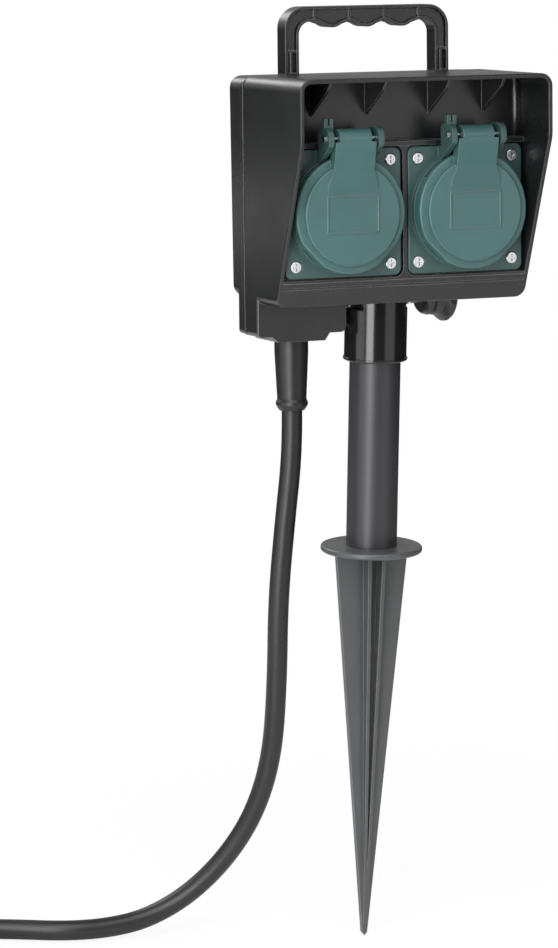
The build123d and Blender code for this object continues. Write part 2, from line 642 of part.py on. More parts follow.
def socket_flange(x):
    """Square frame with its collar, hinge ears and slotted lug."""
    plate = front_slab(
        rounded_rectangle(x - FLANGE_WIDTH / 2, x + FLANGE_WIDTH / 2,
                          SOCKET_Z - FLANGE_HEIGHT / 2, SOCKET_Z + FLANGE_HEIGHT / 2, FLANGE_CORNER),
        FLANGE_FACE_Y, FLANGE_FACE_Y + FLANGE_THICK)
    plate = fillet(plate.faces().sort_by(Axis.Y)[0].edges(), FLANGE_EDGE)
    base = rod_y(x, PEDESTAL_Y, FLANGE_FACE_Y + 1, SOCKET_Z, PEDESTAL_RADIUS)
    base = fillet(base.faces().sort_by(Axis.Y)[0].edges(), 0.6)
    plate += base
    plate += rod_y(x, COLLAR_FRONT_Y, PEDESTAL_Y + 1, SOCKET_Z, COLLAR_RADIUS)
    hinge_z = SOCKET_Z + HINGE_RISE
    top = SOCKET_Z + FLANGE_HEIGHT / 2
    for side in (-1, 1):
        ear = outline([
            (FLANGE_FACE_Y + 1, top - 0.3),
            (FLANGE_FACE_Y + 1, top - 9),
            (FLANGE_FACE_Y - 3, top - 7, 2.0),
            (HINGE_Y - EAR_RADIUS, hinge_z - EAR_RADIUS * 0.6, 2.0),
            (HINGE_Y - EAR_RADIUS, hinge_z + EAR_RADIUS, EAR_RADIUS - 0.1),
            (HINGE_Y + EAR_RADIUS + 3, hinge_z + EAR_RADIUS, 3.0),
            (HINGE_Y + EAR_RADIUS + 3, top - 0.3),
        ])
        inner = x + side * EAR_INNER
        outer = x + side * (EAR_INNER + EAR_THICK)
        plate += side_slab(ear, min(inner, outer), max(inner, outer))
    lug_x = x - EAR_INNER - EAR_THICK
    lug = block(lug_x, lug_x + 4.6, HINGE_Y + 0.5, HINGE_Y + 3.5,
                hinge_z + EAR_RADIUS - 1, hinge_z + EAR_RADIUS + 4.2)
    lug -= block(lug_x + 1.9, lug_x + 2.9, HINGE_Y, HINGE_Y + 4,
                 hinge_z + EAR_RADIUS + 1, hinge_z + EAR_RADIUS + 5)
    plate += lug
    plate -= rod_y(x, COLLAR_FRONT_Y - 1, FLANGE_FACE_Y + FLANGE_THICK + 1, SOCKET_Z,
                   WELL_RADIUS + WELL_WALL + 0.05)
    plate -= rod_x(x - EAR_INNER - EAR_THICK - 1, x + EAR_INNER + EAR_THICK + 1, HINGE_Y, hinge_z,
                   PIN_RADIUS)
    half = SCREW_PITCH / 2
    for sx in (-1, 1):
        for sz in (-1, 1):
            sink = FLANGE_FACE_Y + HEAD_HEIGHT * 0.8
            plate -= rod_y(x + sx * half, FLANGE_FACE_Y - 4, sink, SOCKET_Z + sz * half,
                           FLANGE_SCREW_HEAD + SCREW_HOLE_GAP)
            plate -= rod_y(x + sx * half, sink - 1, FLANGE_FACE_Y + FLANGE_THICK + 1, SOCKET_Z + sz * half,
                           FLANGE_SCREW_RADIUS + SCREW_HOLE_GAP)
    return plate


def flange_gasket(x):
    sheet = rounded_rectangle(
        x - FLANGE_WIDTH / 2, x + FLANGE_WIDTH / 2,
        SOCKET_Z - FLANGE_HEIGHT / 2, SOCKET_Z + FLANGE_HEIGHT / 2, FLANGE_CORNER)
    back_y = FLANGE_FACE_Y + FLANGE_THICK
    pad = front_slab(sheet, back_y, back_y + GASKET_THICK)
    pad -= rod_y(x, back_y - 1, back_y + GASKET_THICK + 1, SOCKET_Z, WELL_RADIUS + WELL_WALL + WINDOW_GAP)
    half = SCREW_PITCH / 2
    for sx in (-1, 1):
        for sz in (-1, 1):
            pad -= rod_y(x + sx * half, back_y - 1, back_y + GASKET_THICK + 1, SOCKET_Z + sz * half,
                         FLANGE_SCREW_RADIUS + SCREW_HOLE_GAP)
    return pad


def flange_screws():
    seat_y = FLANGE_FACE_Y + HEAD_HEIGHT * 0.8
    screws = [pan_screw(x, z, seat_y, FLANGE_SCREW_RADIUS, FLANGE_SCREW_HEAD, FLANGE_SCREW_LENGTH, 1)
              for x, z in flange_screw_places()]
    return Compound(screws)


def housing_screws():
    screws = [pan_screw(x, z, SEAM_Y + 2, HOUSING_SCREW_RADIUS, HOUSING_SCREW_HEAD, SCREW_GRIP + 1, -1)
              for x, z in screw_places()]
    return Compound(screws)


def well_floor_y():
    return COLLAR_FRONT_Y + WELL_DEPTH


def socket_insert(x):
    """The plug's well with its contact block behind."""
    floor_y = well_floor_y()
    body = rod_y(x, COLLAR_FRONT_Y, floor_y + WELL_BASE, SOCKET_Z, WELL_RADIUS + WELL_WALL)
    body -= rod_y(x, COLLAR_FRONT_Y - 1, floor_y, SOCKET_Z, WELL_RADIUS)
    for side in (-1, 1):
        rail = block(x + side * (WELL_RADIUS - 1) - 1.5, x + side * (WELL_RADIUS - 1) + 1.5,
                     COLLAR_FRONT_Y + 2, floor_y + 1, SOCKET_Z - 2.2, SOCKET_Z + 2.2)
        body += rail
        pin_x = x + side * PIN_SPACING / 2
        body -= rod_y(pin_x, floor_y - 1, floor_y + 4, SOCKET_Z, PIN_HOLE / 2)
        room_half = CONTACT_HEIGHT / 2 + CONTACT_GAP
        body -= block(pin_x - CONTACT_WIDTH / 2 - CONTACT_GAP, pin_x + CONTACT_WIDTH / 2 + CONTACT_GAP,
                      floor_y + 2, floor_y + WELL_BASE + 1, SOCKET_Z - room_half, SOCKET_Z + room_half)
        clip_z = SOCKET_Z + side * (clip_outer() - CLIP_THICK / 2)
        body -= block(x - CLIP_WIDTH / 2 - CONTACT_GAP, x + CLIP_WIDTH / 2 + CONTACT_GAP,
                      floor_y - 1, floor_y + WELL_BASE + 1,
                      clip_z - CLIP_THICK / 2 - CONTACT_GAP, clip_z + CLIP_THICK / 2 + CONTACT_GAP)
    return body


def clip_outer():
    """How far from the middle the earth clip's outer faces stand, inside the round well."""
    return sqrt(WELL_RADIUS ** 2 - (CLIP_WIDTH / 2) ** 2) - CONTACT_GAP


def earth_clip(x):
    """One bent strip: two springy legs in the well, joined behind the contact block."""
    back_y = well_floor_y() + WELL_BASE
    outer = clip_outer()
    face = make_face(Polyline(
        (back_y + CONTACT_GAP + CLIP_THICK, outer), (CLIP_REACH_Y, outer), (CLIP_REACH_Y, outer - CLIP_THICK),
        (CLIP_REACH_Y + 4, outer - CLIP_THICK - 1.2), (CLIP_REACH_Y + 8, outer - CLIP_THICK),
        (back_y + CONTACT_GAP, outer - CLIP_THICK), (back_y + CONTACT_GAP, 0),
        (back_y + CONTACT_GAP + CLIP_THICK, 0), close=True))
    upper = side_slab(face, x - CLIP_WIDTH / 2, x + CLIP_WIDTH / 2)
    strip = upper + mirror(upper, Plane.XY)
    return Pos(0, 0, SOCKET_Z) * strip


def contact(x, side):
    pin_x = x + side * PIN_SPACING / 2
    front_y = well_floor_y() + 2 + CONTACT_GAP
    piece = block(pin_x - CONTACT_WIDTH / 2, pin_x + CONTACT_WIDTH / 2, front_y, front_y + CONTACT_LENGTH,
                  SOCKET_Z - CONTACT_HEIGHT / 2, SOCKET_Z + CONTACT_HEIGHT / 2)
    piece -= rod_y(pin_x, front_y - 1, front_y + CONTACT_LENGTH - 2, SOCKET_Z, CONTACT_BORE / 2)
    piece -= block(pin_x - 0.4, pin_x + 0.4, front_y - 1, front_y + CONTACT_LENGTH - 4,
                   SOCKET_Z, SOCKET_Z + CONTACT_HEIGHT / 2 + 1)
    return piece


def strap_outline(x):
    hinge_z = SOCKET_Z + HINGE_RISE
    return outline([
        (x - STRAP_HALF, hinge_z - PIN_RADIUS - 0.6, 0.5),
        (x - STRAP_HALF, SOCKET_Z + STRAP_NARROWS),
        (x - STRAP_FLARE, SOCKET_Z + STRAP_WIDE, 3.0),
        (x - STRAP_FLARE, SOCKET_Z + STRAP_FOOT),
        (x + STRAP_FLARE, SOCKET_Z + STRAP_FOOT),
        (x + STRAP_FLARE, SOCKET_Z + STRAP_WIDE, 3.0),
        (x + STRAP_HALF, SOCKET_Z + STRAP_NARROWS),
        (x + STRAP_HALF, hinge_z - PIN_RADIUS - 0.6, 0.5),
    ])


def lid(x):
    """Sprung lid: skirt, raised disc, strap and hinge barrel."""
    hinge_z = SOCKET_Z + HINGE_RISE
    ring = rod_y(x, LID_RING_Y, LID_BACK_Y, SOCKET_Z, LID_RADIUS)
    for side in (-1, 1):
        flat = Pos(x, 0, SOCKET_Z) * Rot(0, side * 45, 0) * block(
            -LID_RADIUS, LID_RADIUS, LID_RING_Y - 1, LID_BACK_Y + 1, -LID_RADIUS - 5, -LID_FLAT)
        ring -= flat
    ring = fillet(ring.faces().sort_by(Axis.Y)[0].edges(), 1.2)
    disc = rod_y(x, LID_DISC_Y, LID_RING_Y + 1, SOCKET_Z, LID_DISC_RADIUS)
    disc = fillet(disc.faces().sort_by(Axis.Y)[0].edges(), 1.0)
    seal_y = COLLAR_FRONT_Y - SEAL_THICK
    body = ring + disc
    body -= rod_y(x, seal_y, LID_BACK_Y + 1, SOCKET_Z, LID_RADIUS - LID_WALL)
    body -= rod_y(x, LID_DISC_Y + LID_WALL, LID_BACK_Y + 1, SOCKET_Z, SEAL_INNER)
    body -= block(x - LID_RADIUS, x + LID_RADIUS, seal_y, LID_BACK_Y + 1,
                  SOCKET_Z + SKIRT_TOP, SOCKET_Z + LID_RADIUS + 1)
    roll_y = HINGE_Y - BARREL_RADIUS
    wedge = outline([
        (roll_y, hinge_z),
        (roll_y, hinge_z - 3, 12.0),
        (LID_DISC_Y - STRAP_RISE, SOCKET_Z + STRAP_NARROWS, 30.0),
        (LID_DISC_Y, SOCKET_Z + STRAP_FOOT),
        (LID_RING_Y + 1, SOCKET_Z + STRAP_FOOT),
        (LID_RING_Y + 0.4, hinge_z - 6),
        (HINGE_Y + 2.2, hinge_z - 3),
        (HINGE_Y + 2.2, hinge_z),
    ])
    strap = side_slab(wedge, x - LID_RADIUS, x + LID_RADIUS)
    strap &= front_slab(strap_outline(x), roll_y - 1, LID_BACK_Y)
    barrel = rod_x(x - BARREL_HALF, x + BARREL_HALF, HINGE_Y, hinge_z, BARREL_RADIUS)
    body += strap + barrel
    label = Pos(x, SOCKET_Z + LABEL_LIFT)
    field = label * RectangleRounded(LABEL_WIDTH, LABEL_HEIGHT, 1.0)
    inner = label * RectangleRounded(LABEL_WIDTH - 2 * LABEL_LINE, LABEL_HEIGHT - 2 * LABEL_LINE, 0.6)
    body += front_slab(field - inner, LID_DISC_Y - LABEL_DEPTH, LID_DISC_Y + 0.5)
    body -= rod_x(x - BARREL_HALF - 1, x + BARREL_HALF + 1, HINGE_Y, hinge_z, PIN_RADIUS + PIN_FIT)
    spring_room = SPRING_RADIUS + SPRING_WIRE + 0.3
    body -= rod_x(x - spring_half() - 0.4, x + spring_half() + 0.4, HINGE_Y, hinge_z, spring_room)
    return body


def spring_half():
    return SPRING_TURNS * (2 * SPRING_WIRE + 0.45) / 2


def lid_seal(x):
    front_y, back_y = COLLAR_FRONT_Y - SEAL_THICK, COLLAR_FRONT_Y - SEAL_BACK_GAP
    profile = [(SEAL_INNER, front_y), (SEAL_OUTER, front_y), (SEAL_OUTER, back_y), (SEAL_INNER, back_y)]
    return turned_y(profile, x, SOCKET_Z)


def hinge_pin(x):
    hinge_z = SOCKET_Z + HINGE_RISE
    end = EAR_INNER + EAR_THICK
    pin = rod_x(x - end, x + end - 0.3, HINGE_Y, hinge_z, PIN_RADIUS)
    head = rod_x(x - end - 0.9, x - end, HINGE_Y, hinge_z, PIN_RADIUS * 1.7)
    return pin + head


def arc_pair(start, start_way, end, end_way):
    """Two arcs that leave the start and meet the end along given directions."""
    start, end = Vector(*start), Vector(*end)
    leave, arrive = Vector(*start_way).normalized(), Vector(*end_way).normalized()
    span = end - start
    both = leave + arrive
    blunt = 2 * (1 - leave.dot(arrive))
    reach = (-span.dot(both) + sqrt(span.dot(both) ** 2 + blunt * span.dot(span))) / blunt
    middle = (start + end + (leave - arrive) * reach) * 0.5
    first = TangentArc(start, middle, tangent=leave)
    second = TangentArc(middle, end, tangent=first % 1)
    return [first, second]


def wound_path(place, way, turns):
    """A path through a formula, taken a quarter turn at a time."""
    pieces = []
    count = round(turns * 4)
    for step in range(count):
        a, b = step / 4, (step + 1) / 4
        pieces += arc_pair(place(a), way(a), place(b), way(b))
    return pieces


def tube(pieces, radius):
    """One unbroken round tube along joined edges."""
    path = Wire(pieces)
    start = path @ 0
    section = Plane(origin=start, z_dir=path % 0) * Circle(radius)
    return sweep(section, path)


def hinge_spring(x):
    """A small wound spring on the pin, hidden in the barrel."""
    hinge_z = SOCKET_Z + HINGE_RISE
    lead = 2 * spring_half() / SPRING_TURNS

    def place(turn):
        angle = 2 * pi * turn
        return (x - spring_half() + lead * turn, HINGE_Y + SPRING_RADIUS * cos(angle),
                hinge_z + SPRING_RADIUS * sin(angle))

    def way(turn):
        angle = 2 * pi * turn
        around = 2 * pi * SPRING_RADIUS
        return (lead, -around * sin(angle), around * cos(angle))

    return tube(wound_path(place, way, SPRING_TURNS), SPRING_WIRE)


def handle_mid_y():
    return HANDLE_FRONT_Y + HANDLE_DEPTH / 2


def handle_leg_places():
    return [side * (HANDLE_HALF - HANDLE_BAR / 2) for side in (-1, 1)]


def carry_handle():
    """Arched handle with finger grooves and a shallow ribbed field in its front."""
    base = REAR_TOP_Z
    outer = outline([
        (-HANDLE_HALF, base), (-HANDLE_HALF, HANDLE_TOP_Z, HANDLE_CORNER),
        (HANDLE_HALF, HANDLE_TOP_Z, HANDLE_CORNER), (HANDLE_HALF, base)])
    inner_half = HANDLE_HALF - HANDLE_BAR
    valley = HANDLE_TOP_Z - HANDLE_BAR
    opening = outline([
        (-inner_half, base - 1), (-inner_half, valley, HANDLE_INNER_CORNER),
        (inner_half, valley, HANDLE_INNER_CORNER), (inner_half, base - 1)])
    bumps = finger_bumps(valley)
    solid = front_slab(outer - opening + bumps, HANDLE_FRONT_Y, HANDLE_FRONT_Y + HANDLE_DEPTH)
    field = offset(outer - opening + bumps, -CHANNEL_RIM)
    ring = field - offset(field, -GROOVE_WIDTH)
    trough = front_slab(field, HANDLE_FRONT_Y - 1, HANDLE_FRONT_Y + CHANNEL_DEPTH)
    trough += front_slab(ring, HANDLE_FRONT_Y - 1, HANDLE_FRONT_Y + GROOVE_DEPTH)
    back = HANDLE_FRONT_Y + HANDLE_DEPTH
    for x in (-1.5, -0.5, 0.5, 1.5):
        rib_x = x * FINGER_PITCH
        trough -= block(rib_x - HANDLE_RIB / 2, rib_x + HANDLE_RIB / 2, HANDLE_FRONT_Y + 0.4, back,
                        valley, HANDLE_TOP_Z)
    for x in handle_leg_places():
        trough -= block(x - HANDLE_BAR, x + HANDLE_BAR, HANDLE_FRONT_Y + 0.4, back,
                        LEG_RIB_Z - HANDLE_RIB / 2, LEG_RIB_Z + HANDLE_RIB / 2)
        pillar_y = HANDLE_FRONT_Y + PILLAR_SINK + PILLAR_RADIUS
        trough -= rod_z(x, pillar_y, base, LEG_RIB_Z, PILLAR_RADIUS)
    solid -= trough
    for x in handle_leg_places():
        solid -= rod_z(x, handle_mid_y(), base - 1, base + HANDLE_SCREW_LENGTH + 1, HOUSING_SCREW_RADIUS)
    return solid


def finger_bumps(valley):
    """Three swellings between the fingers, under the handle's bar."""
    swell_radius = ((FINGER_PITCH / 4) ** 2 + FINGER_DROP ** 2 / 4) / FINGER_DROP
    bar = Pos(0, valley + 1) * Rectangle(3.4 * FINGER_PITCH, 2.2)
    for x in (-1, 0, 1):
        bump = Pos(x * FINGER_PITCH, valley - FINGER_DROP + swell_radius) * Circle(swell_radius)
        foot = outline([
            (x * FINGER_PITCH - FINGER_PITCH / 2, valley + 0.5),
            (x * FINGER_PITCH - FINGER_PITCH / 2, valley),
            (x * FINGER_PITCH - FINGER_PITCH / 4, valley - FINGER_DROP / 2),
            (x * FINGER_PITCH + FINGER_PITCH / 4, valley - FINGER_DROP / 2),
            (x * FINGER_PITCH + FINGER_PITCH / 2, valley),
            (x * FINGER_PITCH + FINGER_PITCH / 2, valley + 0.5)])
        bar += foot
        bar += bump & (Pos(x * FINGER_PITCH, valley - FINGER_DROP / 2) * Rectangle(FINGER_PITCH, FINGER_DROP))
    return bar


def handle_screws():
    parts = []
    for x in handle_leg_places():
        seat_z = REAR_TOP_Z - WALL
        shank = rod_z(x, handle_mid_y(), seat_z, REAR_TOP_Z + HANDLE_SCREW_LENGTH, HOUSING_SCREW_RADIUS)
        parts.append(shank + rod_z(x, handle_mid_y(), seat_z - HEAD_HEIGHT, seat_z, HOUSING_SCREW_HEAD))
    return Compound(parts)


def tilt_bracket():
    """Two lugs on a plate, screwed up into the bay's ceiling."""
    outer = LUG_INNER + LUG_THICK
    bottom = BAY_TOP_Z - BRACKET_THICK
    plate = block(-outer, outer, PIVOT_Y - BRACKET_HALF_DEPTH, PIVOT_Y + BRACKET_HALF_DEPTH,
                  bottom, BAY_TOP_Z)
    flank = outline([
        (PIVOT_Y - BRACKET_HALF_DEPTH, BAY_TOP_Z - 1), (PIVOT_Y - BRACKET_HALF_DEPTH, bottom),
        (PIVOT_Y - LUG_RADIUS, PIVOT_Z), (PIVOT_Y + LUG_RADIUS, PIVOT_Z),
        (PIVOT_Y + BRACKET_HALF_DEPTH, bottom), (PIVOT_Y + BRACKET_HALF_DEPTH, BAY_TOP_Z - 1)])
    for side in (-1, 1):
        x0, x1 = sorted((side * LUG_INNER, side * outer))
        plate += side_slab(flank, x0, x1) + rod_x(x0, x1, PIVOT_Y, PIVOT_Z, LUG_RADIUS)
    plate -= rod_x(-outer - 1, outer + 1, PIVOT_Y, PIVOT_Z, PIVOT_BOLT_RADIUS + PIN_FIT)
    plate -= hexagon_bar(-outer - 1, -outer + NUT_POCKET)
    for x in bracket_screw_places():
        plate -= rod_z(x, bracket_screw_y(), bottom - 1, BAY_TOP_Z + 1, HOUSING_SCREW_RADIUS + SCREW_HOLE_GAP)
    return plate


def bracket_screw_places():
    return [-BRACKET_SCREW_X, BRACKET_SCREW_X]


def bracket_screw_y():
    return PIVOT_Y - BRACKET_SCREW_BACK


def hexagon_bar(x0, x1, gap=0.1):
    face = RegularPolygon(NUT_FLAT / 2 + gap, 6, major_radius=False)
    return Pos(x0, PIVOT_Y, PIVOT_Z) * extrude(Plane.YZ * face, x1 - x0)


def clamp_nut():
    outer = LUG_INNER + LUG_THICK
    nut = hexagon_bar(-outer - NUT_THICK + NUT_POCKET, -outer + NUT_POCKET, 0)
    return nut - rod_x(-outer - NUT_THICK, -outer + 3, PIVOT_Y, PIVOT_Z, PIVOT_BOLT_RADIUS + PIN_FIT)


def clamp_washer():
    x0 = LUG_INNER + LUG_THICK
    ring = rod_x(x0, x0 + WASHER_THICK, PIVOT_Y, PIVOT_Z, WASHER_RADIUS)
    return ring - rod_x(x0 - 1, x0 + WASHER_THICK + 1, PIVOT_Y, PIVOT_Z, PIVOT_BOLT_RADIUS + PIN_FIT)


def clamp_knob():
    """Bolt, neck, ribbed hub and lobed grip, turned about the pivot."""
    start = LUG_INNER + LUG_THICK + WASHER_THICK + KNUCKLE_GAP
    body = turned_x([
        (-LUG_INNER - LUG_THICK - 0.5, 0), (-LUG_INNER - LUG_THICK - 0.5, PIVOT_BOLT_RADIUS),
        (start, PIVOT_BOLT_RADIUS), (start, KNOB_NECK_RADIUS), (KNOB_NECK_END, KNOB_NECK_RADIUS),
        (KNOB_NECK_END, KNOB_HUB_RADIUS - 1.4), (KNOB_NECK_END + 1, KNOB_HUB_RADIUS - 0.6),
        (KNOB_NECK_END + 3.2, KNOB_HUB_RADIUS), (KNOB_NECK_END + 4.2, KNOB_HUB_RADIUS - 1.2),
        (KNOB_NECK_END + 5.2, KNOB_HUB_RADIUS), (KNOB_HUB_END - 1.4, KNOB_HUB_RADIUS + 0.6),
        (KNOB_HUB_END, KNOB_HUB_RADIUS - 0.6), (KNOB_GRIP_END - 0.5, KNOB_HUB_RADIUS - 0.6),
        (KNOB_GRIP_END - 0.5, 0)], PIVOT_Y, PIVOT_Z)
    grip = turned_x([
        (KNOB_HUB_END - 2.4, 0), (KNOB_HUB_END - 2.4, KNOB_HUB_RADIUS - 0.4),
        (KNOB_HUB_END, KNOB_GRIP_RADIUS - 0.9), (KNOB_HUB_END + 1.2, KNOB_GRIP_RADIUS),
        (KNOB_GRIP_END - 2.0, KNOB_GRIP_RADIUS), (KNOB_GRIP_END - 0.8, KNOB_GRIP_RADIUS - 0.9),
        (KNOB_GRIP_END, KNOB_GRIP_RADIUS - 2.6), (KNOB_GRIP_END, 0)], PIVOT_Y, PIVOT_Z)
    far = KNOB_GRIP_RADIUS + KNOB_SCALLOP - KNOB_SCALLOP_DEPTH
    for lobe in range(KNOB_LOBES):
        angle = 2 * pi * (lobe + 0.5) / KNOB_LOBES - pi / 2
        grip -= rod_x(KNOB_HUB_END - 3, KNOB_GRIP_END + 1, PIVOT_Y + far * cos(angle),
                      PIVOT_Z + far * sin(angle), KNOB_SCALLOP)
    return body + grip


def bracket_screws():
    bottom = BAY_TOP_Z - BRACKET_THICK
    parts = []
    for x in bracket_screw_places():
        y = bracket_screw_y()
        shank = rod_z(x, y, bottom, BAY_TOP_Z + BRACKET_SCREW_RISE - 1, HOUSING_SCREW_RADIUS)
        parts.append(shank + rod_z(x, y, bottom - 0.9, bottom, HOUSING_SCREW_HEAD - 0.6))
    return Compound(parts)


def pole_sleeve():
    """Sleeve that takes the pole, with the knuckle on top."""
    shoulder = PIVOT_Z - SHOULDER_DROP
    sleeve = rod_z(0, 0, SLEEVE_BOTTOM_Z, shoulder, SLEEVE_RADIUS)
    sleeve += rod_z(0, 0, SLEEVE_BOTTOM_Z, SLEEVE_BOTTOM_Z + 3 * SLEEVE_BEAD, SLEEVE_RADIUS + SLEEVE_BEAD)
    sleeve = fillet(sleeve.faces().sort_by(Axis.Z)[0].edges(), 0.8)
    half = KNUCKLE_HALF
    cheek = rod_z(0, 0, shoulder - 1, PIVOT_Z - CHEEK_DROP, SLEEVE_RADIUS)
    sleeve += cheek & block(-half, half, -SLEEVE_RADIUS, 0, shoulder - 1, PIVOT_Z)
    sleeve += rod_x(-half, half, 0, PIVOT_Z, KNUCKLE_RADIUS)
    sleeve += block(-half, half, -KNUCKLE_RADIUS + 1, KNUCKLE_RADIUS - 1,
                    shoulder - 1, PIVOT_Z)
    sleeve -= rod_z(0, 0, SLEEVE_BOTTOM_Z - 1, POLE_TOP_Z + 0.5, POLE_RADIUS + POLE_FIT)
    sleeve -= rod_x(-half - 1, half + 1, 0, PIVOT_Z, PIVOT_BOLT_RADIUS + PIN_FIT)
    return sleeve


def pole_tube():
    pole = rod_z(0, 0, DISC_TOP_Z, POLE_TOP_Z, POLE_RADIUS)
    return pole - rod_z(0, 0, DISC_TOP_Z - 1, POLE_TOP_Z + 1, POLE_RADIUS - POLE_WALL)


def ground_spike():
    """Flat blade with twin ribs on both faces, under a foot plate with a spigot."""
    top = DISC_TOP_Z - DISC_THICK
    blade_face = outline([
        (-BLADE_HALF, top + 0.5), (-TIP_HALF, 1.6, 1.0), (0, 0),
        (TIP_HALF, 1.6, 1.0), (BLADE_HALF, top + 0.5)])
    blade = front_slab(blade_face, -BLADE_THICK / 2, BLADE_THICK / 2)
    rib_side = outline([
        (-BLADE_THICK / 2 - RIB_DEPTH, top + 0.5), (-RIB_TIP_DEPTH - BLADE_THICK / 2, RIB_FOOT_Z),
        (RIB_TIP_DEPTH + BLADE_THICK / 2, RIB_FOOT_Z), (BLADE_THICK / 2 + RIB_DEPTH, top + 0.5)])
    depth = side_slab(rib_side, -BLADE_HALF, BLADE_HALF)
    for side in (-1, 1):
        rib_face = outline([
            (side * (RIB_HALF_SPREAD - RIB_THICK / 2), top + 0.5),
            (side * (RIB_HALF_SPREAD - RIB_THICK / 2), top - RIB_ROOT),
            (side * (0.3 - RIB_THICK / 2), 0.0),
            (side * RIB_THICK / 2, 0.0),
            (side * (RIB_HALF_SPREAD + RIB_THICK / 2), top - RIB_ROOT),
            (side * (RIB_HALF_SPREAD + RIB_THICK / 2), top + 0.5)])
        blade += front_slab(rib_face, -12, 12) & depth
    disc = rod_z(0, 0, top, DISC_TOP_Z, DISC_RADIUS)
    disc = fillet(disc.edges().filter_by(GeomType.CIRCLE), DISC_EDGE)
    spike = blade + disc
    spike += rod_z(0, 0, DISC_TOP_Z - 1, DISC_TOP_Z + SPIGOT_LENGTH,
                   POLE_RADIUS - POLE_WALL - POLE_FIT)
    return spike


def cable_boot():
    """Tapered strain relief with a bead at its end and a groove that the housing grips."""
    inside_z = BLOCK_LOW_Z + WALL
    return turned_z([
        (CORD_RADIUS, BOOT_LOW_Z), (BOOT_LOW_RADIUS - 1.0, BOOT_LOW_Z), (BOOT_LOW_RADIUS, BOOT_LOW_Z + 1.4),
        (BOOT_BEAD_RADIUS, BOOT_BEAD_Z - 0.6), (BOOT_BEAD_RADIUS, BOOT_BEAD_Z + 0.6),
        (BOOT_LOW_RADIUS, BOOT_BEAD_Z + 2.2), (BOOT_TOP_RADIUS, BLOCK_LOW_Z - 6),
        (BOOT_TOP_RADIUS, BLOCK_LOW_Z),
        (BOOT_GRIP_RADIUS, BLOCK_LOW_Z), (BOOT_GRIP_RADIUS, inside_z), (BOOT_COLLAR_RADIUS, inside_z),
        (BOOT_COLLAR_RADIUS, inside_z + BOOT_COLLAR_THICK), (CORD_RADIUS, inside_z + BOOT_COLLAR_THICK)],
        CORD_X, SEAM_Y)


def cord_end():
    """The sheathed end of the cord, from the boot's mouth into the housing."""
    return rod_z(CORD_X, SEAM_Y, BOOT_LOW_Z, CORD_TOP_Z, CORD_RADIUS)


def clamp_low_z():
    return BLOCK_LOW_Z + WALL + BOOT_COLLAR_THICK + CLAMP_LIFT


def clamp_screw_places():
    return [CORD_X - CLAMP_SCREW_OFFSET, CORD_X + CLAMP_SCREW_OFFSET]


def clamp_screw_z():
    return clamp_low_z() + CLAMP_HEIGHT / 2


def cord_clamp():
    """A bar across the cord inside the block, on two posts."""
    z0 = clamp_low_z()
    front_y = SEAM_Y + CORD_RADIUS - CLAMP_BITE
    z1 = z0 + CLAMP_HEIGHT
    bar = block(CORD_X - CLAMP_HALF, CORD_X + CLAMP_HALF, front_y, front_y + CLAMP_THICK, z0, z1)
    bar -= rod_z(CORD_X, SEAM_Y, z0 - 1, z1 + 1, CORD_RADIUS)
    for x in clamp_screw_places():
        bar -= rod_y(x, SEAM_Y, SEAM_Y + 14, clamp_screw_z(), CLAMP_SCREW_RADIUS + SCREW_HOLE_GAP)
    return bar


def cord_clamp_screws():
    seat = SEAM_Y + CORD_RADIUS - CLAMP_BITE + CLAMP_THICK
    screws = [pan_screw(x, clamp_screw_z(), seat, CLAMP_SCREW_RADIUS, CLAMP_SCREW_HEAD,
                        CLAMP_SCREW_LENGTH, -1) for x in clamp_screw_places()]
    return Compound(screws)


def row_point(x, y, z):
    """A point of the upright head, tipped with it."""
    dy, dz = y - PIVOT_Y, z - PIVOT_Z
    a = radians(TILT)
    return (x, dy * cos(a) + dz * sin(a), PIVOT_Z - dy * sin(a) + dz * cos(a))


def cord_points():
    a = radians(TILT)
    exit_point = row_point(CORD_X, SEAM_Y, BOOT_LOW_Z)
    first = (exit_point[0], exit_point[1] - CORD_FIRST_RUN * sin(a), exit_point[2] - CORD_FIRST_RUN * cos(a))
    last = (COIL_START[0] + 2 * CORD_RADIUS, COIL_START[1], COIL_LAY_Z)
    before = (last[0] + CORD_LAST_RUN, last[1], last[2])
    return [exit_point, first] + CORD_ROUTE + [before, last]


def cord_radii(points):
    """Each corner's arc takes 0.45 of the shorter run beside it."""
    radii = []
    for a, b, c in zip(points, points[1:], points[2:]):
        run_in, run_out = Vector(*b) - Vector(*a), Vector(*c) - Vector(*b)
        turn = run_in.get_angle(run_out)
        radii.append(0.45 * min(run_in.length, run_out.length) / tan(radians(turn) / 2))
        print("corner %6.1f %6.1f %6.1f  run %5.1f  turn %5.1f  radius %6.1f" % (
            *b, run_out.length, turn, radii[-1]))
    return radii


def cable_tube():
    points = cord_points()
    path = FilletPolyline(*points, radius=cord_radii(points))
    wire = Wire(path.edges())
    section = Plane(origin=wire @ 0, z_dir=wire % 0) * Circle(CORD_RADIUS)
    solid = sweep(section, wire)
    print("free cord %.1f mm, volume %.0f against section times length %.0f" % (
        wire.length, solid.volume, pi * CORD_RADIUS ** 2 * wire.length))
    return solid


def smooth(share):
    share = min(max(share, 0.0), 1.0)
    return share * share * (3 - 2 * share)


def coil_place(turn):
    """The put-away length: in over the lower layer, up, and out again over the upper one."""
    reverse = COIL_TURNS / 2
    radius = COIL_RADIUS - COIL_PITCH * min(turn, COIL_TURNS - turn)
    angle = pi / 2 + 2 * pi * turn
    z = COIL_LAY_Z + COIL_STEP * smooth((turn - reverse + 0.25) * 2)
    z += (PLUG_RADIUS - COIL_LAY_Z - COIL_STEP) * smooth((turn - COIL_TURNS + 0.5) * 2)
    centre_x, centre_y = COIL_START[0], COIL_START[1] - COIL_RADIUS
    return (centre_x + radius * cos(angle), centre_y + radius * sin(angle), z)


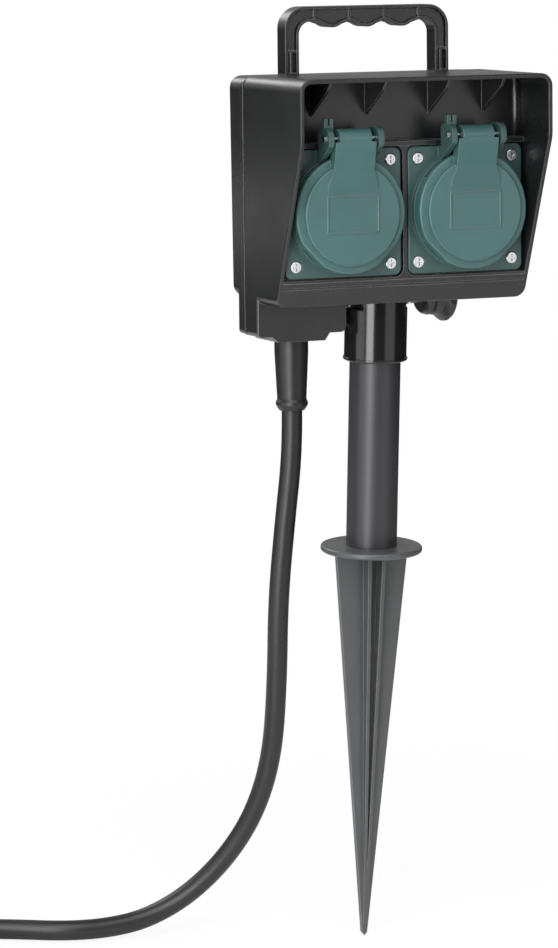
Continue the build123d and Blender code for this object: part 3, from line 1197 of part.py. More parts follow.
def coil_way(turn):
    """Direction of travel: along the start and end, measured from the formula between them."""
    if turn == 0 or turn == COIL_TURNS:
        return (-1, 0, 0)
    nudge = 0.02
    back, ahead = coil_place(turn - nudge), coil_place(turn + nudge)
    return tuple(b - a for a, b in zip(back, ahead))


def least_gap(points, radius):
    """The least clear space between stretches of one tube that are not neighbours."""
    step = hypot(*[a - b for a, b in zip(points[0], points[1])])
    skip = int(5 * radius / step) + 1
    least = 1e9
    for i, a in enumerate(points):
        for b in points[i + skip:]:
            least = min(least, (a[0] - b[0]) ** 2 + (a[1] - b[1]) ** 2 + (a[2] - b[2]) ** 2)
    return sqrt(least) - 2 * radius


def cable_coil():
    start = coil_place(0)
    end = coil_place(COIL_TURNS)
    run = 2 * CORD_RADIUS
    pieces = [Line((start[0] + run, start[1], start[2]), start)]
    pieces += wound_path(coil_place, coil_way, COIL_TURNS)
    pieces.append(Line(end, (end[0] - run, end[1], end[2])))
    path = Wire(pieces)
    count = int(path.length / 4)
    points = [tuple(path @ (i / count)) for i in range(count + 1)]
    print("coil %.1f mm, least gap %.2f mm" % (path.length, least_gap(points, CORD_RADIUS)))
    return tube(pieces, CORD_RADIUS)


def coil_tie():
    """A flat band around the coil's turns at its far left."""
    turns = [0.25 + k for k in range(int(COIL_TURNS))]
    places = [coil_place(turn) for turn in turns]
    grow = CORD_RADIUS + TIE_GAP
    x0 = min(p[0] for p in places) - grow
    x1 = max(p[0] for p in places) + grow
    z0 = min(p[2] for p in places) - grow
    z1 = max(p[2] for p in places) + grow
    y = places[0][1]
    outer = rounded_rectangle(x0 - TIE_THICK, x1 + TIE_THICK, z0 - TIE_THICK, z1 + TIE_THICK,
                              CORD_RADIUS)
    inner = rounded_rectangle(x0, x1, z0, z1, CORD_RADIUS - TIE_THICK)
    return front_slab(outer - inner, y - TIE_WIDTH / 2, y + TIE_WIDTH / 2)


def plug_start():
    end = coil_place(COIL_TURNS)
    return (end[0] - 2 * CORD_RADIUS, end[1], end[2])


def plug_face_x():
    return plug_start()[0] - PLUG_BOOT_LENGTH - PLUG_BODY_LENGTH


def plug_body():
    """Rubber plug with its own boot, lying beside the coil."""
    x, y, z = plug_start()
    boot_end = x - PLUG_BOOT_LENGTH
    rim = plug_face_x() + PLUG_FACE_LENGTH
    body = turned_x([
        (x, 0), (x, PLUG_BOOT_RADIUS - 0.9), (x - 1, PLUG_BOOT_RADIUS), (x - 4, PLUG_BOOT_RADIUS),
        (boot_end, PLUG_BOOT_RADIUS + 2), (boot_end - 3, PLUG_NECK_RADIUS),
        (boot_end - 12, PLUG_NECK_RADIUS + 2.5), (rim + 3, PLUG_RADIUS - 1.0), (rim + 1.5, PLUG_RADIUS),
        (rim, PLUG_RADIUS), (rim, PLUG_FACE_RADIUS), (plug_face_x() + 1, PLUG_FACE_RADIUS),
        (plug_face_x(), PLUG_FACE_RADIUS - 1), (plug_face_x(), 0)], y, z)
    for side in (-1, 1):
        side_y = y + side * PLUG_FACE_RADIUS
        body -= block(plug_face_x() - 1, rim, side_y - 3, side_y + 3, z - 3.2, z + 3.2)
        for turn in (-1, 1):
            strip_z = z + turn * (PLUG_FACE_RADIUS - PLUG_STRIP_THICK)
            low, high = sorted((strip_z, z + turn * (PLUG_RADIUS + 1)))
            body -= block(plug_face_x() - 1, rim - 1, y - PLUG_STRIP_WIDTH / 2, y + PLUG_STRIP_WIDTH / 2,
                          low, high)
    for side in (-1, 1):
        body -= rod_x(plug_face_x() - 1, plug_face_x() + PLUG_PIN_HOLD, y + side * PIN_SPACING / 2, z,
                      PLUG_PIN_ROOT)
    return body


def plug_pins():
    x = plug_face_x()
    _, y, z = plug_start()
    pins = []
    for side in (-1, 1):
        pin_y = y + side * PIN_SPACING / 2
        pin = rod_x(x - PLUG_PIN_LENGTH, x, pin_y, z, PLUG_PIN_RADIUS)
        pin = fillet(pin.faces().sort_by(Axis.X)[0].edges(), 1.6)
        pins.append(pin + rod_x(x - 1, x + PLUG_PIN_HOLD, pin_y, z, PLUG_PIN_ROOT))
    return Compound(pins)


def plug_earth_strips():
    """Two strips let into the plug's face, above and below."""
    x = plug_face_x()
    _, y, z = plug_start()
    strips = []
    for turn in (-1, 1):
        base = z + turn * (PLUG_FACE_RADIUS - PLUG_STRIP_THICK)
        low, high = sorted((base, base + turn * PLUG_STRIP_THICK * 0.8))
        strips.append(block(x + 0.5, x + PLUG_FACE_LENGTH - 1, y - PLUG_STRIP_WIDTH / 2,
                            y + PLUG_STRIP_WIDTH / 2, low, high))
    return Compound(strips)


def wire(points):
    path = FilletPolyline(*points, radius=WIRE_BEND)
    run = Wire(path.edges())
    section = Plane(origin=run @ 0, z_dir=run % 0) * Circle(WIRE_RADIUS)
    return sweep(section, run)


def wires():
    """Cord conductors to the left socket and links on to the right one."""
    top = CORD_TOP_Z
    back = well_floor_y() + 2 + CONTACT_GAP + CONTACT_LENGTH
    clip_back = well_floor_y() + WELL_BASE + CONTACT_GAP + CLIP_THICK
    left, right = -SOCKET_X, SOCKET_X
    half = PIN_SPACING / 2
    cord_ways = {
        "wire_live": (-WIRE_SPREAD, SEAM_Y, left - half, SOCKET_Z - WIRE_STEP, back, CORD_LANE_Y),
        "wire_neutral": (WIRE_SPREAD, SEAM_Y, left + half, SOCKET_Z - WIRE_STEP, back, CORD_LANE_Y),
        "wire_earth": (0, SEAM_Y + WIRE_SPREAD, left, SOCKET_Z - EARTH_DROP, clip_back, EARTH_LANE_Y),
    }
    for name, (dx, y0, x1, z1, end_y, lane_y) in cord_ways.items():
        x0 = CORD_X + dx
        points = [(x0, y0, top), (x0, y0, top + WIRE_STUB), (x0, lane_y, top + WIRE_CLIMB),
                  (x1, lane_y, z1 - WIRE_RISE), (x1, lane_y, z1), (x1, end_y, z1)]
        save(name, wire(points))
    link_ways = {
        "link_live": (-half, SOCKET_Z + WIRE_STEP, back, LINK_LIVE_Y),
        "link_neutral": (half, SOCKET_Z, back, LINK_NEUTRAL_Y),
        "link_earth": (0, SOCKET_Z + EARTH_DROP, clip_back, LINK_EARTH_Y),
    }
    for name, (dx, z, end_y, lane_y) in link_ways.items():
        save(name, wire([(left + dx, end_y, z), (left + dx, lane_y, z), (right + dx, lane_y, z),
                         (right + dx, end_y, z)]))


save("front_cover", front_cover())
save("socket_panel", socket_panel())
save("rear_shell", rear_shell())
save("housing_gasket", housing_gasket())
save("housing_screws", housing_screws())
save("carry_handle", carry_handle())
save("handle_screws", handle_screws())
for side_name, side_x in SIDES:
    save("socket_flange_" + side_name, socket_flange(side_x))
    save("flange_gasket_" + side_name, flange_gasket(side_x))
    save("socket_insert_" + side_name, socket_insert(side_x))
    save("earth_clip_" + side_name, earth_clip(side_x))
    save("contact_live_" + side_name, contact(side_x, -1))
    save("contact_neutral_" + side_name, contact(side_x, 1))
    save("lid_" + side_name, lid(side_x))
    save("lid_seal_" + side_name, lid_seal(side_x))
    save("hinge_pin_" + side_name, hinge_pin(side_x))
    save("hinge_spring_" + side_name, hinge_spring(side_x))
save("flange_screws", flange_screws())
wires()
save("tilt_bracket", tilt_bracket())
save("bracket_screws", bracket_screws())
save("clamp_nut", clamp_nut())
save("clamp_washer", clamp_washer())
save("clamp_knob", clamp_knob())
save("cable_boot", cable_boot())
save("cord_end", cord_end())
save("cord_clamp", cord_clamp())
save("cord_clamp_screws", cord_clamp_screws())
save("pole_sleeve", pole_sleeve(), on_head=False)
save("pole_tube", pole_tube(), on_head=False)
save("ground_spike", ground_spike(), on_head=False)
save("cable_tube", cable_tube(), on_head=False)
save("cable_coil", cable_coil(), on_head=False)
save("coil_tie", coil_tie(), on_head=False)
save("plug_body", plug_body(), on_head=False)
save("plug_pins", plug_pins(), on_head=False)
save("plug_earth_strips", plug_earth_strips(), on_head=False)
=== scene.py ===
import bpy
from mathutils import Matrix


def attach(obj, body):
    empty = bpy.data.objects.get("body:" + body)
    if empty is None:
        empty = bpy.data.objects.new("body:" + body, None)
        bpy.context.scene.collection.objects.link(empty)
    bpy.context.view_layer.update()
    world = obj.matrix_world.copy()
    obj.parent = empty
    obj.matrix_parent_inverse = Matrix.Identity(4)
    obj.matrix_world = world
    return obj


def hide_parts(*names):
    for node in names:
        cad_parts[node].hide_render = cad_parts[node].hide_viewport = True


bl_info = {
    "name": "Garden Socket Spike",
    "version": (1, 0, 0),
    "blender": (4, 5, 0),
    "location": "View3D > Sidebar > Socket Spike",
    "description": "Dresses the twin garden socket on its ground spike, and sets its studio",
    "category": "Object",
}

from math import cos, pi, sin

import bpy
from mathutils import Matrix, Vector

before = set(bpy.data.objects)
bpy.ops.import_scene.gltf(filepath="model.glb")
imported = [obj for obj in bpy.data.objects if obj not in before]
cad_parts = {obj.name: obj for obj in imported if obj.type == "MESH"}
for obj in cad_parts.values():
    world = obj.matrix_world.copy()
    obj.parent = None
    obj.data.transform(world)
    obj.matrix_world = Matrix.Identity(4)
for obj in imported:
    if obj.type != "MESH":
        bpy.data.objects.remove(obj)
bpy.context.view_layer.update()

MM = 0.001
SIDES = ("left", "right")

# Where a noise's middle band starts and ends, so that its patches come out even
NOISE_LOW = 0.3
NOISE_HIGH = 0.7
# How square to the true face the rounded normal is on a flat, and on a full edge
FLAT_FACING = 0.985
EDGE_FACING = 0.80
# Share of white in the painted highlight along moulded edges
HIGHLIGHT_WHITE = 0.3
# Width of the patches that hands have polished, and how far they move the roughness either way
HANDLED_PATCH = 45 * MM
HANDLED_WEAR = 0.06

MOULDED_IOR = 1.53
PVC_IOR = 1.54
NEOPRENE_IOR = 1.52

INSULATION_ROUGHNESS = 0.38
INSULATION_BROWN = "#5f3a22"
INSULATION_BLUE = "#2a6db0"
EARTH_GREEN = "#2f7d2c"
EARTH_YELLOW = "#d8c92a"
EARTH_BAND = 14 * MM


def linear(hex_colour):
    """Scene-linear red, green and blue of an sRGB hex colour."""
    shares = [int(hex_colour[i:i + 2], 16) / 255 for i in (1, 3, 5)]
    return tuple(s / 12.92 if s <= 0.04045 else ((s + 0.055) / 1.055) ** 2.4 for s in shares)


def colour(name, hex_colour, description):
    return bpy.props.FloatVectorProperty(
        name=name, description=description, subtype="COLOR", size=3, min=0, max=1,
        default=linear(hex_colour))


def length(name, metres, description):
    return bpy.props.FloatProperty(name=name, description=description, unit="LENGTH", default=metres, min=0)


class SpikeColours(bpy.types.PropertyGroup):
    """Colours of the mouldings, the rubber and the metal."""

    housing: colour("Housing", "#161717", "Black ABS of the hood, the rear shell and the handle")
    flange: colour("Flanges", "#2f4a47", "Grey-green frames round the sockets")
    lid: colour("Lids", "#365857", "Dark green hinged lids")
    insert: colour("Inserts", "#141414", "Heat-proof plug wells")
    pole: colour("Pole", "#29292c", "Extruded tube and its sleeve")
    spike: colour("Spike", "#444546", "Glass-filled nylon of the ground spike")
    rubber: colour("Rubber", "#0f0f10", "Cord sheath, boot, plug and seals")
    zinc: colour("Zinc", "#d9dadc", "Zinc-plated screws, pins and nut")
    brass: colour("Brass", "#c8a552", "Contacts and earth clips")
    floor: colour("Floor", "#f4f4f4", "Studio floor")


class SpikeSizes(bpy.types.PropertyGroup):
    """Sizes that the dressing uses, beside those of the frame."""

    cord_diameter: length("Cord diameter", 10 * MM, "Outside diameter of the rubber cord")
    cord_length: length("Cord length", 1.4392, "Cord from the boot to the plug, its coil included")
    edge_round: length("Edge rounding", 0.6 * MM, "Radius that moulded edges catch the light with")
    grain: length("Moulding grain", 0.9 * MM, "Width of the spark-eroded grain")
    floor_size: length("Floor size", 40.0, "Width of the studio floor")


def add(tree, kind, links=None, **settings):
    """A shader node with its settings, and links from other sockets into its inputs."""
    node = tree.nodes.new(kind)
    for name, value in settings.items():
        if name in node.inputs:
            node.inputs[name].default_value = value
        else:
            setattr(node, name, value)
    for name, source in (links or {}).items():
        tree.links.new(source, node.inputs[name])
    return node


def blank(name):
    """A material with its node tree, the object's own coordinates in metres, and its surface shader."""
    material = bpy.data.materials.new(name)
    material.use_nodes = True
    tree = material.node_tree
    tree.nodes.clear()
    place = add(tree, "ShaderNodeTexCoord")
    shader = add(tree, "ShaderNodeBsdfPrincipled")
    output = add(tree, "ShaderNodeOutputMaterial")
    tree.links.new(shader.outputs["BSDF"], output.inputs["Surface"])
    return material, tree, place.outputs["Object"], shader


def mottled(tree, place, base, width, share):
    """Base colour that drifts a little over patches of the given width."""
    patches = add(tree, "ShaderNodeTexNoise", {"Vector": place}, Scale=1 / width, Detail=3.0)
    ramp = add(tree, "ShaderNodeValToRGB", {"Fac": patches.outputs["Fac"]})
    ramp.color_ramp.elements[0].position = NOISE_LOW
    ramp.color_ramp.elements[1].position = NOISE_HIGH
    ramp.color_ramp.elements[0].color = (*[c * (1 - share) for c in base], 1)
    ramp.color_ramp.elements[1].color = (*[min(c * (1 + share), 1) for c in base], 1)
    return ramp.outputs["Color"]


def rounded(tree, radius):
    """Normals that turn over moulded edges."""
    return add(tree, "ShaderNodeBevel", Radius=radius, samples=4).outputs["Normal"]


def edges_of(tree, radius):
    """How far the normal turns within a radius: 0 on flats, 1 on edges."""
    near = add(tree, "ShaderNodeBevel", Radius=radius, samples=6)
    here = add(tree, "ShaderNodeNewGeometry")
    facing = add(tree, "ShaderNodeVectorMath", {0: near.outputs["Normal"], 1: here.outputs["True Normal"]},
                 operation="DOT_PRODUCT")
    turned = add(tree, "ShaderNodeMapRange", {"Value": facing.outputs["Value"]},
                 **{"From Min": FLAT_FACING, "From Max": EDGE_FACING, "To Min": 0.0, "To Max": 1.0})
    return turned.outputs["Result"]


def moulded(name, base, roughness, grain, depth, edge, edge_highlight=0.0):
    """A moulded plastic: fine grain, faint patches, and rounded edges with a painted highlight that
    lightens their colour.
    """
    material, tree, place, shader = blank(name)
    grit = add(tree, "ShaderNodeTexNoise", {"Vector": place}, Scale=1 / grain, Detail=2.0, Roughness=0.6)
    bump = add(tree, "ShaderNodeBump", {"Height": grit.outputs["Fac"], "Normal": rounded(tree, edge)},
               Strength=0.35, Distance=depth)
    handled = add(tree, "ShaderNodeTexNoise", {"Vector": place}, Scale=1 / HANDLED_PATCH, Detail=4.0)
    sheen = add(tree, "ShaderNodeMapRange", {"Value": handled.outputs["Fac"]},
                **{"From Min": NOISE_LOW, "From Max": NOISE_HIGH,
                   "To Min": roughness - HANDLED_WEAR, "To Max": roughness + HANDLED_WEAR})
    tint = mottled(tree, place, base, 30 * MM, 0.08)
    # Painted highlight: the base colour turns towards white along rounded edges, as far as the given edge
    # share says
    if edge_highlight:
        share = add(tree, "ShaderNodeMath", {0: edges_of(tree, edge)}, operation="MULTIPLY")
        share.inputs[1].default_value = edge_highlight
        highlighted = add(tree, "ShaderNodeMix", {"Factor": share.outputs[0], "A": tint}, data_type="RGBA")
        highlighted.inputs["B"].default_value = (*[HIGHLIGHT_WHITE + (1 - HIGHLIGHT_WHITE) * c for c in base], 1)
        tint = highlighted.outputs["Result"]
    tree.links.new(tint, shader.inputs["Base Color"])
    tree.links.new(sheen.outputs["Result"], shader.inputs["Roughness"])
    tree.links.new(bump.outputs["Normal"], shader.inputs["Normal"])
    shader.inputs["IOR"].default_value = MOULDED_IOR
    return material


def zinc_plated(colours):
    """Zinc-plated steel: passivated in a barrel, so bright with a faint cloud and fine scuffs."""
    material, tree, place, shader = blank("zinc_plated_steel")
    cloud = add(tree, "ShaderNodeTexNoise", {"Vector": place}, Scale=1 / (1.2 * MM), Detail=3.0)
    rough = add(tree, "ShaderNodeMapRange", {"Value": cloud.outputs["Fac"]},
                **{"To Min": 0.16, "To Max": 0.34})
    tree.links.new(mottled(tree, place, colours.zinc, 2 * MM, 0.06), shader.inputs["Base Color"])
    tree.links.new(rough.outputs["Result"], shader.inputs["Roughness"])
    tree.links.new(rounded(tree, 0.2 * MM), shader.inputs["Normal"])
    shader.inputs["Metallic"].default_value = 1.0
    return material


def stamped_brass(colours):
    """Brass strip, stamped and bent: soft lengthways lines from the rolling."""
    material, tree, place, shader = blank("stamped_brass")
    lines = add(tree, "ShaderNodeTexNoise", {"Vector": place}, Scale=1 / (0.8 * MM), Detail=2.0)
    rough = add(tree, "ShaderNodeMapRange", {"Value": lines.outputs["Fac"]},
                **{"To Min": 0.22, "To Max": 0.36})
    tree.links.new(mottled(tree, place, colours.brass, 3 * MM, 0.05), shader.inputs["Base Color"])
    tree.links.new(rough.outputs["Result"], shader.inputs["Roughness"])
    shader.inputs["Metallic"].default_value = 1.0
    return material


def extruded_pvc(name, base, roughness):
    """Rigid PVC, extruded: glossy, with faint lengthways die lines."""
    material, tree, place, shader = blank(name)
    squeeze = add(tree, "ShaderNodeMapping", {"Vector": place}, Scale=(1.0, 1.0, 0.01))
    lines = add(tree, "ShaderNodeTexNoise", {"Vector": squeeze.outputs["Vector"]},
                Scale=1 / (1.5 * MM), Detail=2.0)
    bump = add(tree, "ShaderNodeBump", {"Height": lines.outputs["Fac"], "Normal": rounded(tree, 0.4 * MM)},
               Strength=0.15, Distance=0.03 * MM)
    tree.links.new(mottled(tree, place, base, 40 * MM, 0.1), shader.inputs["Base Color"])
    tree.links.new(bump.outputs["Normal"], shader.inputs["Normal"])
    shader.inputs["Roughness"].default_value = roughness
    shader.inputs["IOR"].default_value = PVC_IOR
    return material


def cord_rubber(colours):
    """Neoprene sheath: satin black, with a fine talc bloom that greys it in patches."""
    material, tree, place, shader = blank("neoprene_rubber")
    bloom = add(tree, "ShaderNodeTexNoise", {"Vector": place}, Scale=1 / (1.1 * MM), Detail=3.0)
    bump = add(tree, "ShaderNodeBump", {"Height": bloom.outputs["Fac"], "Normal": rounded(tree, 0.4 * MM)},
               Strength=0.3, Distance=0.04 * MM)
    tree.links.new(mottled(tree, place, colours.rubber, 18 * MM, 0.15), shader.inputs["Base Color"])
    tree.links.new(bump.outputs["Normal"], shader.inputs["Normal"])
    shader.inputs["Roughness"].default_value = 0.42
    shader.inputs["IOR"].default_value = NEOPRENE_IOR
    return material


def wire_insulation(name, hex_colour):
    """PVC insulation, extruded: evenly coloured with a soft gloss."""
    material, tree, place, shader = blank(name)
    tree.links.new(mottled(tree, place, linear(hex_colour), 6 * MM, 0.05), shader.inputs["Base Color"])
    shader.inputs["Roughness"].default_value = INSULATION_ROUGHNESS
    return material


def earth_insulation():
    """Green insulation with yellow bands along it."""
    material, tree, place, shader = blank("earth_insulation")
    bands = add(tree, "ShaderNodeTexWave", {"Vector": place}, Scale=1 / EARTH_BAND, Distortion=0.4)
    ramp = add(tree, "ShaderNodeValToRGB", {"Fac": bands.outputs["Fac"]})
    ramp.color_ramp.interpolation = "CONSTANT"
    ramp.color_ramp.elements[0].color = (*linear(EARTH_GREEN), 1)
    ramp.color_ramp.elements[1].position = 0.55
    ramp.color_ramp.elements[1].color = (*linear(EARTH_YELLOW), 1)
    tree.links.new(ramp.outputs["Color"], shader.inputs["Base Color"])
    shader.inputs["Roughness"].default_value = INSULATION_ROUGHNESS
    return material


def colours():
    """The part's colours, as the panel holds them."""
    return bpy.context.scene.spike_colours


def sizes():
    """The dressing's sizes, as the panel holds them."""
    return bpy.context.scene.spike_sizes


def coat(material, *nodes):
    """Give CAD nodes their finish."""
    for name in nodes:
        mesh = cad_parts[name].data
        mesh.materials.clear()
        mesh.materials.append(material)


def both(name):
    """The left and the right node of a pair."""
    return [name + "_" + side for side in SIDES]


def shared(name, make):
    """A finish that more than one operator uses, made once."""
    return bpy.data.materials.get(name) or make()


def rubber():
    return shared("neoprene_rubber", lambda: cord_rubber(colours()))


def zinc():
    return shared("zinc_plated_steel", lambda: zinc_plated(colours()))


def brass():
    return shared("stamped_brass", lambda: stamped_brass(colours()))


class SPIKE_OT_housing(bpy.types.Operator):
    """Dress the hood, the rear shell, their gasket and the carry handle"""

    bl_idname = "spike.housing"
    bl_label = "Housing"

    def execute(self, context):
        # ABS, moulded in a spark-eroded tool: black with a fine even grain and a broad soft sheen
        # The last argument sets the painted highlight on the edges
        abs_black = moulded("abs_housing", colours().housing, roughness=0.3, grain=sizes().grain,
                            depth=0.03 * MM, edge=sizes().edge_round, edge_highlight=0.45)
        coat(abs_black, "front_cover", "socket_panel", "rear_shell", "carry_handle", "tilt_bracket")
        coat(rubber(), "housing_gasket")
        return {"FINISHED"}


class SPIKE_OT_sockets(bpy.types.Operator):
    """Dress the socket frames, the plug wells, their contacts and gaskets"""

    bl_idname = "spike.sockets"
    bl_label = "Sockets"

    def execute(self, context):
        # PA6, moulded: grey-green with a slightly coarser, drier surface than the lids
        # The last argument sets the painted highlight on the edges
        nylon_green = moulded("nylon_flange", colours().flange, roughness=0.4, grain=0.8 * MM,
                              depth=0.04 * MM, edge=0.5 * MM, edge_highlight=0.3)
        coat(nylon_green, *both("socket_flange"))
        # Thermoset, compression moulded: black, dry and slightly mottled
        thermoset = moulded("thermoset_insert", colours().insert, roughness=0.55, grain=0.6 * MM,
                            depth=0.04 * MM, edge=0.3 * MM)
        coat(thermoset, *both("socket_insert"), "cord_clamp")
        coat(rubber(), *both("flange_gasket"))
        coat(brass(), *both("earth_clip"), *both("contact_live"), *both("contact_neutral"))
        return {"FINISHED"}


class SPIKE_OT_lids(bpy.types.Operator):
    """Dress the hinged lids with their seals, pins and springs"""

    bl_idname = "spike.lids"
    bl_label = "Lids"

    def execute(self, context):
        # PP, moulded: dark green, a little waxy, smoother than the frame behind it
        # The last argument sets the painted highlight on the edges
        lid_green = moulded("polypropylene_lid", colours().lid, roughness=0.34, grain=0.7 * MM,
                            depth=0.03 * MM, edge=0.6 * MM, edge_highlight=0.2)
        coat(lid_green, *both("lid"))
        coat(rubber(), *both("lid_seal"))
        coat(zinc(), *both("hinge_pin"), *both("hinge_spring"))
        return {"FINISHED"}


class SPIKE_OT_fasteners(bpy.types.Operator):
    """Dress the screws, the nut and the washer"""

    bl_idname = "spike.fasteners"
    bl_label = "Fasteners"

    def execute(self, context):
        coat(zinc(), "housing_screws", "handle_screws", "flange_screws", "bracket_screws",
             "cord_clamp_screws", "clamp_nut", "clamp_washer")
        return {"FINISHED"}


class SPIKE_OT_knob(bpy.types.Operator):
    """Dress the clamp knob of the tilt joint"""

    bl_idname = "spike.knob"
    bl_label = "Clamp knob"

    def execute(self, context):
        # PA6, moulded: black with a dry grain that hands have polished a little
        nylon_black = moulded("nylon_knob", colours().housing, roughness=0.45, grain=0.6 * MM,
                              depth=0.05 * MM, edge=0.5 * MM)
        coat(nylon_black, "clamp_knob")
        return {"FINISHED"}


class SPIKE_OT_pole(bpy.types.Operator):
    """Dress the sleeve, the pole and the ground spike"""

    bl_idname = "spike.pole"
    bl_label = "Pole and spike"

    def execute(self, context):
        # The sleeve's bore-polished skin is shinier than the tube, which handling has dulled
        coat(extruded_pvc("pvc_sleeve", colours().housing, roughness=0.16), "pole_sleeve")
        coat(extruded_pvc("pvc_tube", colours().pole, roughness=0.38), "pole_tube")
        # PA6 with glass fibre, moulded: dark grey and matt, faintly clouded by the fibres
        # The last argument sets the painted highlight on the edges
        spike_grey = moulded("glass_filled_nylon", colours().spike, roughness=0.38, grain=1.0 * MM,
                             depth=0.04 * MM, edge=0.5 * MM, edge_highlight=0.5)
        coat(spike_grey, "ground_spike")
        return {"FINISHED"}


class SPIKE_OT_wiring(bpy.types.Operator):
    """Dress the conductors inside the housing"""

    bl_idname = "spike.wiring"
    bl_label = "Wiring"

    def execute(self, context):
        coat(wire_insulation("brown_insulation", INSULATION_BROWN), "wire_live", "link_live")
        coat(wire_insulation("blue_insulation", INSULATION_BLUE), "wire_neutral", "link_neutral")
        coat(earth_insulation(), "wire_earth", "link_earth")
        return {"FINISHED"}


CORD_EXIT = (-0.042, 0.003807, 0.266921)
CORD_ROUTE = (
    (-0.0420, 0.00246, 0.24697),
    (-0.0454, 0.0020, 0.2140),
    (-0.0484, 0.0022, 0.1740),
    (-0.0472, 0.0046, 0.1320),
    (-0.0466, 0.0106, 0.0930),
    (-0.0520, 0.0182, 0.0630),
    (-0.0635, 0.0263, 0.0390),
    (-0.0800, 0.0335, 0.0200),
    (-0.1000, 0.0381, 0.0082),
    (-0.1210, 0.0389, 0.0050),
    (-0.1430, 0.0413, 0.0050),
    (-0.1640, 0.0523, 0.0050),
    (-0.1845, 0.0608, 0.0050),
    (-0.2060, 0.0659, 0.0058),
    (-0.2300, 0.0673, 0.0068),
    (-0.2520, 0.0673, 0.0068),
)
COIL_CENTRE = (-0.262, 0.0053)
COIL_RADIUS = 0.062
COIL_PITCH = 0.0135
COIL_LOW = 0.0068
COIL_STEP = 0.011
COIL_TURNS = 3
POINTS_PER_TURN = 16
PLUG_HEIGHT = 0.0192
PLUG_START = (-0.272, 0.0673, PLUG_HEIGHT)


def eased(share):
    share = min(max(share, 0.0), 1.0)
    return share * share * (3 - 2 * share)


def coil_point(turn):
    """Centre of the put-away cord: in over the lower layer, up, and out again over the upper one."""
    radius = COIL_RADIUS - COIL_PITCH * min(turn, COIL_TURNS - turn)
    angle = pi / 2 + 2 * pi * turn
    height = COIL_LOW + COIL_STEP * eased((turn - COIL_TURNS / 2 + 0.25) * 2)
    height += (PLUG_HEIGHT - COIL_LOW - COIL_STEP) * eased((turn - COIL_TURNS + 0.5) * 2)
    return (COIL_CENTRE[0] + radius * cos(angle), COIL_CENTRE[1] + radius * sin(angle), height)


class SPIKE_OT_cord(bpy.types.Operator):
    """Lay the rubber cord from its boot to the plug, and dress the pieces on it"""

    bl_idname = "spike.cord"
    bl_label = "Cord and plug"

    def execute(self, context):
        turns = [coil_point(step / POINTS_PER_TURN) for step in range(COIL_TURNS * POINTS_PER_TURN + 1)]
        points = [CORD_EXIT, *CORD_ROUTE, *turns, PLUG_START]
        curve = bpy.data.curves.new("rubber_cord", "CURVE")
        curve.dimensions = "3D"
        line = curve.splines.new("NURBS")
        line.points.add(len(points) - 1)
        for point, place in zip(line.points, points):
            point.co = (*place, 1)
        line.order_u = 3
        line.use_endpoint_u = True
        line.resolution_u = 8
        curve.bevel_depth = sizes().cord_diameter / 2
        curve.bevel_resolution = 6
        curve.use_fill_caps = True
        cord = bpy.data.objects.new("rubber_cord", curve)
        context.collection.objects.link(cord)
        curve.materials.append(rubber())
        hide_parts("cable_tube", "cable_coil")
        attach(cord, "head")
        coat(rubber(), "cable_boot", "cord_end", "plug_body")
        # Nylon strap, extruded: black, dull
        strap = moulded("nylon_strap", colours().housing, roughness=0.5, grain=0.8 * MM,
                        depth=0.04 * MM, edge=0.2 * MM)
        coat(strap, "coil_tie")
        coat(zinc(), "plug_pins")
        coat(brass(), "plug_earth_strips")
        return {"FINISHED"}


# Places are in metres from the spike's tip, and each camera axis is a direction
CAMERA_PLACE = (-0.90330, -1.96100, 0.64483)
CAMERA_RIGHT = (0.91802, -0.39623, 0.01564)
CAMERA_UP = (0.06022, 0.17829, 0.98213)
CAMERA_BACK = (-0.39194, -0.90067, 0.18754)
CAMERA_LENS = 170.886
CAMERA_SENSOR = 36.0
CAMERA_REACH = 100.0

# Distances from the middle of the floor over which the pale sheet gives way to the dark floor, and over
# which the shadow fades out
SHEET_EDGE = (0.6, 1.1)
SHADOW_EDGE = (0.08, 0.5)
# Share of plain white over the floor where its shadow is strongest
SHADOW_VEIL = 0.88
DARK_FLOOR = "#2a2a2b"
FLOOR_ROUGHNESS = 0.9
# The floor lies this far below the lowest point, so that nothing shares its plane
FLOOR_DROP = 0.0005

# How far back a direction has to point for the room to turn from its front level to its back level
ROOM_TURN = (0.0, 0.7)
ROOM_FRONT = 0.12
ROOM_BACK = 0.4

POLE_TOP = (0.0, 0.0, 0.30)
LEFT_WALL = (-0.06, -0.02, 0.38)
# Name, place, aim, width, height and watts of each softbox
LIGHTS = (
    ("left_strip", (-0.62, -0.62, 0.46), POLE_TOP, 0.42, 0.9, 9),
    ("left_fill", (-1.0, -0.10, 0.36), POLE_TOP, 0.7, 0.7, 2.5),
    ("right_softbox", (0.55, -0.95, 0.46), POLE_TOP, 0.8, 0.9, 2.4),
    ("wall_glow", (-0.26, 0.42, 0.30), LEFT_WALL, 0.25, 0.05, 0.02),
    ("top_softbox", (-0.2, -0.7, 1.6), POLE_TOP, 1.2, 1.2, 16),
    ("back_softbox", (-0.45, 0.9, 0.95), POLE_TOP, 0.9, 0.5, 6),
)


def area_light(name, place, target, width, height, watts):
    """A white rectangular softbox that the camera doesn't see."""
    lamp = bpy.data.lights.new(name, "AREA")
    lamp.shape = "RECTANGLE"
    lamp.size = width
    lamp.size_y = height
    lamp.energy = watts
    lamp_object = bpy.data.objects.new(name, lamp)
    lamp_object.location = place
    lamp_object.visible_camera = False
    aim = Vector(target) - Vector(place)
    lamp_object.rotation_euler = aim.to_track_quat("-Z", "Y").to_euler()
    bpy.context.collection.objects.link(lamp_object)


